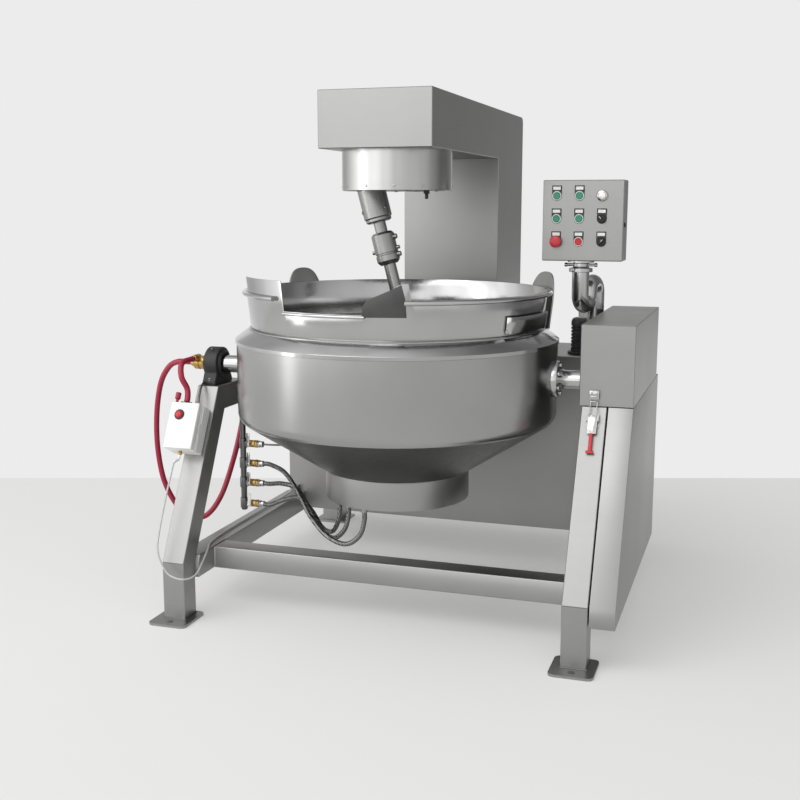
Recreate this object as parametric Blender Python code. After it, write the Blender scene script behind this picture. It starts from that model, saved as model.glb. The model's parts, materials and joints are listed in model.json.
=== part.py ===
# Steam jacketed tilting kettle with a planetary mixer on a swing-back arm.
# Metres, +Z up. The pouring notch faces -Y, and the tilting axis runs along X.
import math

import bmesh
import bpy
from mathutils import Matrix, Vector

for old in list(bpy.data.objects):
    bpy.data.objects.remove(old, do_unlink=True)

# Clearances
SEAT = 0.0003          # between pieces that rest on each other
RUNNING = 0.0005       # round a turning shaft
WELD = 0.00002         # corners closer than this are one
SHEET = 0.003          # covers
PLATE = 0.004          # bowl, jacket and arm walls
EDGE = 0.002           # rounding of folded sheet edges

ROUND = 36             # facets round the bowl and the mixer drum

# Bowl and jacket
BOWL_R = 0.455
BOWL_CENTRE_Z = 0.955
RIM_Z = BOWL_CENTRE_Z + 0.020
FLANGE_R = BOWL_R + 0.029
STEAM_SPACE = 0.0715   # from the bowl's inner face to the jacket's outer face
JACKET_R = BOWL_R + STEAM_SPACE
JACKET_TOP = RIM_Z - 0.0362
JACKET_LOW = BOWL_CENTRE_Z - 0.255
KNUCKLE = 0.040        # radius where the jacket's wall turns into its cone
BAND_PROUD = 0.0035
BAND_HEIGHT = 0.013
SUMP_R = 0.2403
SUMP_TOP = BOWL_CENTRE_Z - BOWL_R - 0.003
SUMP_LOW = SUMP_TOP - 0.093
COLLAR_R = FLANGE_R - 0.006    # outer radius at its foot
COLLAR_FLARE = 0.109   # widening for each metre of height
COLLAR_TOP = RIM_Z + 0.120
NOTCH_Z = RIM_Z + 0.077
NOTCH_FROM, NOTCH_TO = 244.0, 277.0
CHEEK_FROM = 214.0
CHEEK_TOP = COLLAR_TOP + 0.048
WEDGE_TO = 289.5
WEDGE_END = 292.5
BAR_R = 0.0075
LIP_R = 0.005
LUG_ANGLES = {"rear_lug": (149.0, 8.5), "right_lug": (33.0, 12.0)}
LUG_TOP = COLLAR_TOP + 0.048

# Welded stand
TUBE = 0.078
SIDE_ROOM = 0.1775     # from the jacket to the outer face of each leg
STAND_HALF = JACKET_R + SIDE_ROOM
LEG_MIDDLE = STAND_HALF - TUBE / 2
RAIL_HALF = STAND_HALF - 0.014
LEG_FRONT = -0.353
KNEE_Z = 0.199
RAIL_LOW = 0.130
RAIL_TOP = 0.207
BEAM_FRONT = -0.161
FOOT_X, FOOT_Y, FOOT_Z = 0.135, 0.150, 0.008
FOOT_CORNER = 0.018
FOOT_MIDDLE_Y = LEG_FRONT + 0.013
ANCHOR_HOLE = 0.007

# Tilting axis and its bearings
AXIS_Z = BOWL_CENTRE_Z - 0.135
SHAFT_R = 0.030
TRUNNION_FLANGE_R = 0.058
TRUNNION_FLANGE = 0.016
BEARING_RISE = 0.070   # axis above the bearing's foot
BEARING_LENGTH = 0.131
BEARING_WIDTH = 0.050
BEARING_R = 0.058
BEARING_BOSS_R = 0.046
UNION_R = 0.024
UNION_END = STAND_HALF + 0.0585    # outer end of the union on the left trunnion
SEAT_FRONT = -0.0705   # where the leaning front face meets the bearing seat
SEAT_BACK = 0.130
SEAT_DEPTH = 0.085
SEAT_TOP = AXIS_Z - BEARING_RISE

# Mixer: the leaning shaft crosses the bowl's axis at the apex
LEAN = math.radians(14.7)
APEX_Z = BOWL_CENTRE_Z + 0.120
DRUM_R = 0.178
DRUM_LOW = RIM_Z + 0.435
CARRIER_R = DRUM_R - 0.008
SPIGOT_R = 0.058
SPIGOT_RISE = 0.024
DRIVE_R = 0.0295
MIXER_SHAFT_R = 0.020
SLEEVE_R = 0.046
SLEEVE_LOW = 0.243     # heights along the leaning axis, above the apex
SLEEVE_LENGTH = 0.160
COUPLING_R = 0.038
COUPLING_LOW, COUPLING_TOP = 0.103, 0.208
PIN_HEIGHT = 0.150
PIN_HALF = 0.048
PIN_R = 0.006
HUB_R = 0.030
BLADE_R = BOWL_R - 0.018       # swept radius of the scraper's edge round the bowl's centre
BLADE_WIDTH = 0.0137
FRAME_WIDTH = 0.035
FRAME_HALF = 0.255
FRAME_TOP = 0.260

# Rear cabinet, column and arm
CABINET_HALF = STAND_HALF - 0.023
CABINET_FRONT = JACKET_R + 0.1185
CABINET_BACK = CABINET_FRONT + 0.415
CABINET_LOW = 0.138
CABINET_TOP = 0.810
CABINET_POST = 0.040   # half the width of each rear foot's post
GLAND_X = CABINET_HALF - 0.031
GLAND_Z = 0.220
GLAND_HALF = 0.012
GLAND_LENGTH = 0.0195
ARM_HALF = 0.1836
ARM_FRONT = -DRUM_R - 0.046
ARM_LOW = DRUM_LOW + 0.126
ARM_TOP = ARM_LOW + 0.176
ARM_ROUND = 0.020
HINGE_Z = CABINET_TOP + 0.240
HINGE_HALF = 0.140
HINGE_MIDDLE = 0.0695  # half the length of the arm's own knuckle
HINGE_PIN_R = 0.0075
HINGE_SKIN = 0.006
HINGE_LEAF = 0.090
BARREL_R = 0.016
HINGE_Y = CABINET_BACK + BARREL_R + 0.002

# Right-hand housing
COVER_DEPTH = 0.081    # outwards from the leg
COVER_IN, COVER_OUT = STAND_HALF - 0.087, STAND_HALF + COVER_DEPTH
COVER_FRONT, COVER_BACK = SEAT_FRONT + 0.0015, CABINET_FRONT - 0.005
COVER_TOP = AXIS_Z + 0.183
COVER_SPLIT = SEAT_TOP
SIDE_BACK = CABINET_FRONT + 0.055
SIDE_GAP = 0.004       # between the leg and the side cover
DRIVE_MOTOR_R = 0.0285
DRIVE_MOTOR_LENGTH = 0.210

LATCH_X, LATCH_Z = LEG_MIDDLE, SEAT_TOP - 0.035
HOSE_END = (-LEG_MIDDLE, SEAT_TOP - 0.042)

# Pump motor on the cabinet
PUMP_X, PUMP_Y = STAND_HALF - 0.204, CABINET_FRONT + 0.100
PUMP_R = 0.048
PUMP_HEIGHT = 0.135
CAP_R = 0.022
CAP_HEIGHT = 0.062

# Control pendant
POST_R = 0.029
POST_X, POST_Y = STAND_HALF - 0.125, CABINET_FRONT - 0.155
SWIVEL_X, SWIVEL_Y = POST_X - 0.034, POST_Y - 0.140
BEND_Z = COVER_TOP + 0.059
SWIVEL_Z = BEND_Z + 0.078
BOX_LOW = (SWIVEL_X - 0.126, SWIVEL_Y - 0.050, SWIVEL_Z + 0.039)
BOX_HIGH = (SWIVEL_X + 0.145, SWIVEL_Y + 0.050, SWIVEL_Z + 0.308)
BUTTON_STEP = 0.076
BUTTON_X = BOX_LOW[0] + 0.047
BUTTON_Z = BOX_HIGH[2] - 0.052
BUTTON_R = 0.0125
MUSHROOM_R = 0.0195

# Ignition box on the left leg, in the plane of the leaning face
IGNITION_SIZE = (0.105, 0.085, 0.160)
IGNITION_X = 0.014 - STAND_HALF
IGNITION_Z = 0.600
IGNITION_BUTTON = (-0.014, 0.036)

# Burner manifold, hung beside the jacket
MANIFOLD_X = -JACKET_R - 0.0455
MANIFOLD_R = 0.0105
VALVE_HEIGHTS = (0.540, 0.470, 0.400, 0.325)
VALVE_REACH = 0.078
VALVE_FRONT = 0.030    # the lever's spindle, from the pipe's axis
SPINDLE_REACH = 0.020
SOCKETS = ((-0.170, -0.100), (-0.120, -0.150), (-0.050, -0.190))
SOCKET_LOW = SUMP_LOW - 0.020

# The origin is under the middle of the machine
LEFT_SIDE = -UNION_END
FRONT_SIDE = -JACKET_R - BAND_PROUD
BACK_SIDE = HINGE_Y + BARREL_R
ORIGIN_X = (LEFT_SIDE + COVER_OUT) / 2
ORIGIN_Y = (FRONT_SIDE + BACK_SIDE) / 2


# Materials

def material(name, colour, roughness, metallic):
    made = bpy.data.materials.new(name)
    made.use_nodes = True
    shader = made.node_tree.nodes["Principled BSDF"]
    shader.inputs["Base Color"].default_value = (*colour, 1)
    shader.inputs["Roughness"].default_value = roughness
    shader.inputs["Metallic"].default_value = metallic
    made.diffuse_color = (*colour, 1)
    return made


BRUSHED = material("brushed stainless", (0.45, 0.45, 0.45), 0.38, 1.0)
POLISHED = material("polished stainless", (0.60, 0.60, 0.60), 0.15, 1.0)
CAST = material("black cast iron", (0.03, 0.03, 0.03), 0.5, 0.0)
BRASS = material("brass", (0.55, 0.38, 0.12), 0.3, 1.0)
RED_RUBBER = material("red hose rubber", (0.35, 0.01, 0.05), 0.45, 0.0)
BRAID = material("braided hose", (0.22, 0.22, 0.22), 0.4, 0.6)
WHITE = material("white enclosure plastic", (0.72, 0.73, 0.73), 0.4, 0.0)
GREEN = material("green button", (0.02, 0.25, 0.14), 0.35, 0.0)
RED = material("red button", (0.60, 0.02, 0.05), 0.35, 0.0)
BLACK = material("black plastic", (0.02, 0.02, 0.02), 0.4, 0.0)
PTFE = material("white scraper plastic", (0.80, 0.80, 0.78), 0.5, 0.0)
MOTOR_GREY = material("motor grey paint", (0.06, 0.06, 0.065), 0.5, 0.0)


# Bodies: an empty on each joint's axis carries the pieces that turn or slide with it

whole = bpy.data.objects.new("kettle", None)
bpy.context.collection.objects.link(whole)
whole.location = (-ORIGIN_X, -ORIGIN_Y, 0)


def body(name, place, parent=whole, parent_place=(0, 0, 0)):
    empty = bpy.data.objects.new(name, None)
    bpy.context.collection.objects.link(empty)
    empty.parent = parent
    empty.location = Vector(place) - Vector(parent_place)
    return empty, Vector(place)


STAND = (whole, Vector((0, 0, 0)))


def link(mesh, name):
    made = bpy.data.objects.new(name, mesh)
    bpy.context.collection.objects.link(made)
    return made


def finish(made, name, skin, carrier=STAND, smooth=False):
    empty, place = carrier
    made.name = name
    made.data.name = name
    made.data.materials.clear()
    made.data.materials.append(skin)
    made.parent = empty
    made.location = -place
    if smooth:
        made.data.shade_smooth()
        made.data.set_sharp_from_angle(angle=math.radians(35))
    return made


# Shapes

def from_bmesh(mesh_maker, name="piece"):
    bmesh.ops.recalc_face_normals(mesh_maker, faces=mesh_maker.faces)
    mesh = bpy.data.meshes.new(name)
    mesh_maker.to_mesh(mesh)
    mesh_maker.free()
    return link(mesh, name)


def ease(bm, width):
    sharp = [e for e in bm.edges if len(e.link_faces) == 2 and e.calc_face_angle() > 0.6]
    bmesh.ops.bevel(bm, geom=sharp, offset=width, segments=1, affect="EDGES", profile=0.5)


def prism(points, plane, low, high, round_by=0.0):
    places = {
        "yz": lambda a, b, c: (c, a, b),
        "xz": lambda a, b, c: (a, c, b),
        "xy": lambda a, b, c: (a, b, c),
    }[plane]
    bm = bmesh.new()
    ring = [bm.verts.new(places(a, b, low)) for a, b in points]
    face = bm.faces.new(ring)
    moved = bmesh.ops.extrude_face_region(bm, geom=[face])["geom"]
    shift = Vector(places(0, 0, high)) - Vector(places(0, 0, low))
    bmesh.ops.translate(bm, vec=shift, verts=[v for v in moved if isinstance(v, bmesh.types.BMVert)])
    bmesh.ops.recalc_face_normals(bm, faces=bm.faces)
    if round_by:
        ease(bm, round_by)
    return from_bmesh(bm)


def box(low, high, round_by=0.0):
    corners = [(low[0], low[1]), (high[0], low[1]), (high[0], high[1]), (low[0], high[1])]
    return prism(corners, "xy", low[2], high[2], round_by)


def turned(profile, segments=24, matrix=None, closed=False):
    """A profile of (radius, height) points turned round Z."""
    bm = bmesh.new()
    rings = []
    for r, z in profile:
        if r < 1e-6:
            rings.append([bm.verts.new((0, 0, z))])
            continue
        angles = [2 * math.pi * k / segments for k in range(segments)]
        rings.append([bm.verts.new((r * math.cos(a), r * math.sin(a), z)) for a in angles])
    pairs = list(zip(rings, rings[1:]))
    if closed:
        pairs.append((rings[-1], rings[0]))
    for below, above in pairs:
        for k in range(segments):
            n = (k + 1) % segments
            corners = [below[k % len(below)], below[n % len(below)],
                       above[n % len(above)], above[k % len(above)]]
            corners = list(dict.fromkeys(corners))
            if len(corners) > 2:
                bm.faces.new(corners)
    if matrix:
        bmesh.ops.transform(bm, matrix=matrix, verts=bm.verts)
    return from_bmesh(bm)


def along(start, end):
    """The matrix that carries the Z axis onto the line from start to end."""
    line = Vector(end) - Vector(start)
    return Matrix.Translation(start) @ line.to_track_quat("Z", "Y").to_matrix().to_4x4()


def rod(start, end, radius, segments=16, chamfer=0.0):
    length = (Vector(end) - Vector(start)).length
    profile = [(0, 0), (radius - chamfer, 0), (radius, chamfer),
               (radius, length - chamfer), (radius - chamfer, length), (0, length)]
    if not chamfer:
        profile = [(0, 0), (radius, 0), (radius, length), (0, length)]
    return turned(profile, segments, along(start, end))


def baked(made):
    graph = bpy.context.evaluated_depsgraph_get()
    mesh = bpy.data.meshes.new_from_object(made.evaluated_get(graph))
    made.modifiers.clear()
    bm = bmesh.new()
    bm.from_mesh(mesh)
    bmesh.ops.remove_doubles(bm, verts=bm.verts, dist=WELD)
    bmesh.ops.dissolve_degenerate(bm, edges=bm.edges, dist=WELD)
    bm.to_mesh(mesh)
    bm.free()
    made.data = mesh
    return made


def combine(made, others, operation):
    for other in others:
        step = made.modifiers.new("cut", "BOOLEAN")
        step.operation = operation
        step.solver = "EXACT"
        step.object = other
        baked(made)
        bpy.data.objects.remove(other, do_unlink=True)
    return made


def cut(made, *others):
    return combine(made, others, "DIFFERENCE")


def join(made, *others):
    return combine(made, others, "UNION")


def together(shapes):
    """One object of several shapes that don't touch."""
    bm = bmesh.new()
    for shape in shapes:
        bm.from_mesh(shape.data)
        bpy.data.objects.remove(shape, do_unlink=True)
    return from_bmesh(bm)


def smooth_route(points, spacing):
    """Points a given distance apart on a smooth curve through the route's own points."""
    path = [Vector(p) for p in points]
    path = [path[0] * 2 - path[1]] + path + [path[-1] * 2 - path[-2]]
    fine = []
    for a, b, c, d in zip(path, path[1:], path[2:], path[3:]):
        for k in range(24):
            t = k / 24
            fine.append(0.5 * ((2 * b) + (c - a) * t + (2 * a - 5 * b + 4 * c - d) * t * t
                               + (3 * b - a - 3 * c + d) * t ** 3))
    fine.append(path[-2])
    total = sum((q - p).length for p, q in zip(fine, fine[1:]))
    count = max(2, round(total / spacing))
    kept, walked, wanted = [fine[0]], 0.0, total / count
    for p, q in zip(fine, fine[1:]):
        step = (q - p).length
        while walked + step >= wanted * len(kept) and len(kept) < count:
            kept.append(p.lerp(q, (wanted * len(kept) - walked) / step))
        walked += step
    kept.append(fine[-1])
    return kept


def tube(points, radius, name, skin, carrier=STAND, resolution=2):
    """A round tube along points, with filled ends."""
    curve = bpy.data.curves.new(name, "CURVE")
    curve.dimensions = "3D"
    curve.bevel_depth = radius
    curve.bevel_resolution = resolution
    curve.use_fill_caps = True
    spline = curve.splines.new("POLY")
    spline.points.add(len(points) - 1)
    for place, point in zip(points, spline.points):
        point.co = (*place, 1)
    made = bpy.data.objects.new(name, curve)
    bpy.context.collection.objects.link(made)
    return finish_curve(made, skin, carrier)


def finish_curve(made, skin, carrier):
    empty, place = carrier
    made.data.materials.append(skin)
    made.parent = empty
    made.location = -place
    return made


def arc(centre_a, centre_b, radius, start, end, steps):
    """Points on an arc, in degrees, both ends included."""
    angles = [math.radians(start + (end - start) * k / steps) for k in range(steps + 1)]
    return [(centre_a + radius * math.cos(a), centre_b + radius * math.sin(a)) for a in angles]


# Stand

SLOPE = (SEAT_FRONT - LEG_FRONT) / (SEAT_TOP - KNEE_Z)
LEG_ACROSS = TUBE / math.cos(math.atan(SLOPE))


def leg_front(z):
    return LEG_FRONT + SLOPE * (z - KNEE_Z)


def leg_back(z):
    return leg_front(z) + LEG_ACROSS


KNEE_BACK_Z = KNEE_Z + (TUBE - LEG_ACROSS) / SLOPE


def make_leg(name, side, *fittings):
    seat_low = SEAT_TOP - SEAT_DEPTH
    profile = [
        (LEG_FRONT, FOOT_Z / 2), (LEG_FRONT, KNEE_Z), (SEAT_FRONT, SEAT_TOP),
        (SEAT_BACK, SEAT_TOP), (SEAT_BACK, seat_low), (leg_back(seat_low), seat_low),
        (LEG_FRONT + TUBE, KNEE_BACK_Z), (LEG_FRONT + TUBE, FOOT_Z / 2),
    ]
    inner = side * (STAND_HALF - TUBE)
    outer = side * STAND_HALF
    leg = prism(profile, "yz", min(inner, outer), max(inner, outer), EDGE)
    finish(join(leg, make_foot(side), *fittings), name, BRUSHED)


def make_foot(side):
    middle = side * LEG_MIDDLE
    x, y = FOOT_X / 2 - FOOT_CORNER, FOOT_Y / 2 - FOOT_CORNER
    outline = []
    for cx, cy, start in ((x, y, 0), (-x, y, 90), (-x, -y, 180), (x, -y, 270)):
        outline += arc(middle + cx, FOOT_MIDDLE_Y + cy, FOOT_CORNER, start, start + 90, 3)
    hole_y = (FOOT_MIDDLE_Y - FOOT_Y / 2 + LEG_FRONT) / 2
    hole = rod((middle, hole_y, -0.01), (middle, hole_y, 0.02), ANCHOR_HOLE, 16)
    return cut(prism(outline, "xy", 0, FOOT_Z), hole)


def make_rail(side):
    start = LEG_FRONT + TUBE + SEAT
    end = CABINET_FRONT - SEAT
    profile = [
        (start, RAIL_LOW), (end, RAIL_LOW), (end, RAIL_TOP),
        (leg_back(RAIL_TOP) + 2 * SEAT, RAIL_TOP), (start, KNEE_BACK_Z - SEAT),
    ]
    inner, outer = side * (RAIL_HALF - TUBE), side * RAIL_HALF
    return prism(profile, "yz", min(inner, outer), max(inner, outer))


def make_stand():
    x, z = HOSE_END
    spigot = rod((x, SEAT_BACK - 0.005, z), (x, SEAT_BACK + 0.0265, z), 0.013, 12)
    make_leg("left_leg", -1, spigot)
    make_leg("right_leg", 1, make_latch_base())
    reach = RAIL_HALF - TUBE / 2
    beam = box((-reach, BEAM_FRONT, RAIL_LOW), (reach, BEAM_FRONT + TUBE, RAIL_TOP))
    finish(join(beam, make_rail(-1), make_rail(1)), "base_frame", BRUSHED)


def make_cabinet():
    low = (-CABINET_HALF, CABINET_FRONT, CABINET_LOW)
    high = (CABINET_HALF, CABINET_BACK, CABINET_TOP)
    gland = box((-GLAND_X - GLAND_HALF, CABINET_FRONT - GLAND_LENGTH, GLAND_Z - GLAND_HALF),
                (-GLAND_X + GLAND_HALF, CABINET_FRONT + 0.005, GLAND_Z + GLAND_HALF))
    parts = [gland]
    post = CABINET_POST
    for side in (-1, 1):
        x, y = side * (CABINET_HALF - FOOT_X / 2), CABINET_BACK - FOOT_X / 2 - 0.0125
        parts.append(box((x - FOOT_X / 2, y - FOOT_X / 2, 0), (x + FOOT_X / 2, y + FOOT_X / 2, FOOT_Z)))
        parts.append(box((x - post, y - post, FOOT_Z / 2), (x + post, y + post, CABINET_LOW + 0.01)))
    half, margin, groove = CABINET_HALF - 0.381, 0.060, 0.004
    floor, roof = CABINET_LOW + margin, CABINET_TOP - margin
    rear = (CABINET_BACK - SHEET / 2, CABINET_BACK + 0.01)
    frame = [
        box((-half, rear[0], floor), (half, rear[1], floor + groove)),
        box((-half, rear[0], roof - groove), (half, rear[1], roof)),
        box((-half, rear[0], floor), (-half + groove, rear[1], roof)),
        box((half - groove, rear[0], floor), (half, rear[1], roof)),
    ]
    slots = []
    for k in range(6):
        z = CABINET_LOW + 0.13 + 0.03 * k
        slots.append(box((-0.12, rear[0], z), (0.12, rear[1], z + 0.008)))
    hollow = box([v + SHEET for v in low], [v - SHEET for v in high])
    reach = CABINET_HALF - 0.231
    opening = box((-reach, CABINET_FRONT + 0.06, CABINET_LOW - 0.01),
                  (reach, CABINET_BACK - 0.16, CABINET_LOW + 0.01))
    sheets = cut(box(low, high, 0.003), hollow, opening)
    finish(cut(join(sheets, *parts), *frame, together(slots)), "rear_cabinet", BRUSHED)


def make_column():
    floor = CABINET_TOP + SEAT
    base = box((-ARM_HALF, CABINET_FRONT, floor), (ARM_HALF, CABINET_BACK, HINGE_Z - SEAT))
    hollow = box((-ARM_HALF + PLATE, CABINET_FRONT + PLATE, floor + PLATE),
                 (ARM_HALF - PLATE, CABINET_BACK - PLATE, HINGE_Z + 0.01))
    clear = BARREL_R + 0.005
    inner = HINGE_MIDDLE + 0.001
    ends = ((-HINGE_HALF, -inner), (inner, HINGE_HALF))
    leaf = knuckles(ends, HINGE_Z - HINGE_LEAF, HINGE_Z - clear)
    finish(join(cut(base, hollow), leaf), "column_base", BRUSHED)


def knuckles(spans, plate_low, plate_high):
    """Hinge leaf behind the column, with a barrel over each span of X."""
    face, skin = CABINET_BACK - 0.001, CABINET_BACK + HINGE_SKIN
    made = box((-HINGE_HALF, face, plate_low), (HINGE_HALF, skin, plate_high))
    parts = []
    inner = HINGE_Z + math.copysign(0.003, plate_low - HINGE_Z)
    for low, high in spans:
        strip_low, strip_high = min(plate_low + 0.01, inner), max(plate_high - 0.01, inner)
        parts.append(box((low, face, strip_low), (high, skin, strip_high)))
        parts.append(rod((low, HINGE_Y, HINGE_Z), (high, HINGE_Y, HINGE_Z), BARREL_R - SEAT))
    bore_half = HINGE_HALF + 0.06
    bore = rod((-bore_half, HINGE_Y, HINGE_Z), (bore_half, HINGE_Y, HINGE_Z), HINGE_PIN_R + SEAT)
    return cut(join(made, *parts), bore)


def make_hinge_pin():
    reach = HINGE_HALF + 0.008
    pin = rod((-reach, HINGE_Y, HINGE_Z), (reach, HINGE_Y, HINGE_Z), HINGE_PIN_R, 16, 0.001)
    finish(pin, "hinge_pin", POLISHED, smooth=True)


def make_arm(head):
    def outline(inset, foot):
        return [
            (ARM_FRONT + inset, ARM_LOW + inset), (CABINET_FRONT + inset, ARM_LOW + inset),
            (CABINET_FRONT + inset, foot), (CABINET_BACK - inset, foot),
            (CABINET_BACK - inset, ARM_TOP - ARM_ROUND),
            (CABINET_BACK - inset - ARM_ROUND * 0.3, ARM_TOP - inset - ARM_ROUND * 0.3),
            (CABINET_BACK - ARM_ROUND, ARM_TOP - inset), (ARM_FRONT + inset, ARM_TOP - inset),
        ]
    shell = prism(outline(0, HINGE_Z + SEAT), "yz", -ARM_HALF, ARM_HALF, EDGE)
    hollow = prism(outline(PLATE, HINGE_Z - 0.01), "yz", -ARM_HALF + PLATE, ARM_HALF - PLATE)
    opening = rod((0, 0, ARM_LOW - 0.01), (0, 0, ARM_LOW + 0.01), SPIGOT_R + 2 * SEAT, ROUND)
    leaf = knuckles(((-HINGE_MIDDLE, HINGE_MIDDLE),), HINGE_Z + BARREL_R + 0.005, HINGE_Z + HINGE_LEAF)
    finish(join(cut(shell, hollow, opening), leaf), "arm_housing", BRUSHED, head)
    top = ARM_LOW - SEAT
    profile = [
        (DRUM_R, DRUM_LOW), (DRUM_R, top), (SPIGOT_R, top), (SPIGOT_R, top + SPIGOT_RISE),
        (DRIVE_R + RUNNING, top + SPIGOT_RISE), (DRIVE_R + RUNNING, top - 0.006),
        (DRUM_R - PLATE, top - 0.006), (DRUM_R - PLATE, DRUM_LOW),
    ]
    finish(turned(profile, ROUND, closed=True), "mixer_drum", POLISHED, head, smooth=True)
    motor_low = top + SPIGOT_RISE + SEAT
    motor = [(0, motor_low), (0.085, motor_low), (0.085, motor_low + 0.02),
             (0.072, motor_low + 0.03), (0.072, motor_low + 0.12), (0, motor_low + 0.12)]
    finish(turned(motor), "mixer_motor", MOTOR_GREY, head, smooth=True)


def leaning(height):
    """The point on the leaning mixer axis at a height along it above the apex."""
    return Vector((-math.sin(LEAN) * height, 0, APEX_Z + math.cos(LEAN) * height))


def make_carrier(carrier):
    low = DRUM_LOW + 0.002
    profile = [(0, low), (CARRIER_R, low), (CARRIER_R, low + 0.012), (0.06, low + 0.014),
               (DRIVE_R, low + 0.02), (DRIVE_R, ARM_LOW + 0.02), (0, ARM_LOW + 0.02)]
    finish(turned(profile, ROUND), "carrier_disc", POLISHED, carrier, smooth=True)
    bore = MIXER_SHAFT_R + RUNNING
    sleeve_top = SLEEVE_LOW + SLEEVE_LENGTH
    sleeve = turned([(bore, SLEEVE_LOW), (SLEEVE_R - 0.003, SLEEVE_LOW), (SLEEVE_R, SLEEVE_LOW + 0.003),
                     (SLEEVE_R, sleeve_top), (bore, sleeve_top)],
                    matrix=along(leaning(0), leaning(1)), closed=True)
    above = box((-0.3, -0.3, low - SEAT), (0.3, 0.3, low + 0.3))
    finish(cut(sleeve, above), "upper_sleeve", BRUSHED, carrier, smooth=True)


def blade_depth(half_width, radius):
    """Depth below the apex of a point that sweeps the given radius round the bowl's centre."""
    drop = (APEX_Z - BOWL_CENTRE_Z) * math.cos(LEAN)
    offset = (APEX_Z - BOWL_CENTRE_Z) * math.sin(LEAN)
    return drop + math.sqrt(radius ** 2 - (half_width + offset) ** 2)


def blade_edge(radius, half_width, steps=8):
    """The scraper's lower edge, from left to right."""
    widths = [half_width * math.sin(math.pi / 2 * k / steps) for k in range(steps + 1)]
    right = [(w, -blade_depth(w, radius)) for w in widths]
    return [(-w, d) for w, d in reversed(right[1:])] + right


def make_agitator(agitator):
    tilt = Matrix.Translation((0, 0, APEX_Z)) @ Matrix.Rotation(-LEAN, 4, "Y")

    def leant(made):
        made.data.transform(tilt)
        return made

    def pin_hole():
        return rod((-0.06, 0, PIN_HEIGHT), (0.06, 0, PIN_HEIGHT), PIN_R + SEAT, 12)
    frame_r = BLADE_R - BLADE_WIDTH - SEAT
    end = -blade_depth(0, frame_r) + 0.02
    top = SLEEVE_LOW + 0.09
    shaft = cut(rod((0, 0, end), (0, 0, top), MIXER_SHAFT_R, 24, 0.002), pin_hole())
    bore = MIXER_SHAFT_R + RUNNING
    sleeve = turned([(bore, COUPLING_LOW), (COUPLING_R - 0.008, COUPLING_LOW),
                     (COUPLING_R, COUPLING_LOW + 0.012), (COUPLING_R, COUPLING_TOP - 0.006),
                     (COUPLING_R - 0.006, COUPLING_TOP), (bore, COUPLING_TOP)], closed=True)
    pin = rod((-PIN_HALF, 0, PIN_HEIGHT), (PIN_HALF, 0, PIN_HEIGHT), PIN_R, 12, 0.001)
    finish(leant(join(sleeve, pin)), "coupling_sleeve", BRUSHED, agitator, smooth=True)
    outer = blade_edge(frame_r, FRAME_HALF)
    inner = blade_edge(frame_r - FRAME_WIDTH, FRAME_HALF - FRAME_WIDTH)
    outline = ([(-FRAME_HALF, -FRAME_TOP)] + outer + [(FRAME_HALF, -FRAME_TOP)]
               + [(FRAME_HALF - FRAME_WIDTH, -FRAME_TOP)] + inner[::-1]
               + [(-FRAME_HALF + FRAME_WIDTH, -FRAME_TOP)])
    frame = prism(outline, "xz", -0.007, 0.007)
    hub = rod((0, 0, end - 0.012), (0, 0, end + 0.075), HUB_R, 24)
    finish(leant(join(frame, hub, shaft)), "agitator_shaft", BRUSHED, agitator, smooth=True)
    edge = blade_edge(BLADE_R, FRAME_HALF)
    inside = blade_edge(BLADE_R - BLADE_WIDTH, FRAME_HALF)
    blade = prism(edge + inside[::-1], "xz", -0.006, 0.006)
    finish(leant(blade), "scraper_blade", PTFE, agitator)


# Bowl

def bowl_arc(radius, start, end, steps):
    return arc(0, BOWL_CENTRE_Z, radius, start, end, steps)


def make_bowl(bowl):
    inner = [(0, BOWL_CENTRE_Z - BOWL_R)] + bowl_arc(BOWL_R, -82, 0, 7)
    outer = bowl_arc(BOWL_R + PLATE, 0, -82, 7) + [(0, BOWL_CENTRE_Z - BOWL_R - PLATE)]
    flange = [(BOWL_R, RIM_Z), (FLANGE_R, RIM_Z), (FLANGE_R, RIM_Z - PLATE), (BOWL_R + PLATE, RIM_Z - PLATE)]
    finish(turned(inner + flange + outer, ROUND), "inner_bowl", POLISHED, bowl, smooth=True)

    spigot = SUMP_R - PLATE - 2 * SEAT
    shoulder_z = RIM_Z - PLATE - SEAT
    lip_r = BOWL_R + PLATE + 0.0015

    def skin(inset):
        cone_foot = (SUMP_R - inset, SUMP_TOP + inset * 0.6)
        turn = arc(JACKET_R - KNUCKLE, JACKET_LOW, KNUCKLE - inset, -57, 0, 3)
        return [cone_foot] + turn
    outside = [(0, SUMP_TOP - 0.027), (spigot, SUMP_TOP - 0.017), (spigot, SUMP_TOP)] + skin(0)
    band = [(JACKET_R, JACKET_TOP - BAND_HEIGHT), (JACKET_R + BAND_PROUD, JACKET_TOP - BAND_HEIGHT),
            (JACKET_R + BAND_PROUD, JACKET_TOP), (FLANGE_R + 0.002, shoulder_z), (lip_r, shoulder_z)]
    back = [(lip_r, shoulder_z - PLATE), (FLANGE_R, shoulder_z - PLATE),
            (JACKET_R - PLATE, JACKET_TOP - PLATE)]
    inside = skin(PLATE)[::-1] + [(spigot - PLATE, SUMP_TOP + PLATE), (spigot - PLATE, SUMP_TOP - 0.013),
                                  (0, SUMP_TOP - 0.023)]
    finish(turned(outside + band + back + inside, ROUND), "outer_jacket", BRUSHED, bowl, smooth=True)

    sump = turned([(0, SUMP_LOW), (SUMP_R, SUMP_LOW), (SUMP_R, SUMP_TOP - SEAT),
                   (SUMP_R - PLATE, SUMP_TOP - SEAT), (SUMP_R - PLATE, SUMP_LOW + PLATE),
                   (0, SUMP_LOW + PLATE)], ROUND)
    sockets = [rod((x, y, SOCKET_LOW), (x, y, SUMP_LOW + 0.002), 0.012, 12) for x, y in SOCKETS]
    finish(join(sump, *sockets), "burner_chamber", BRUSHED, bowl, smooth=True)


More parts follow.
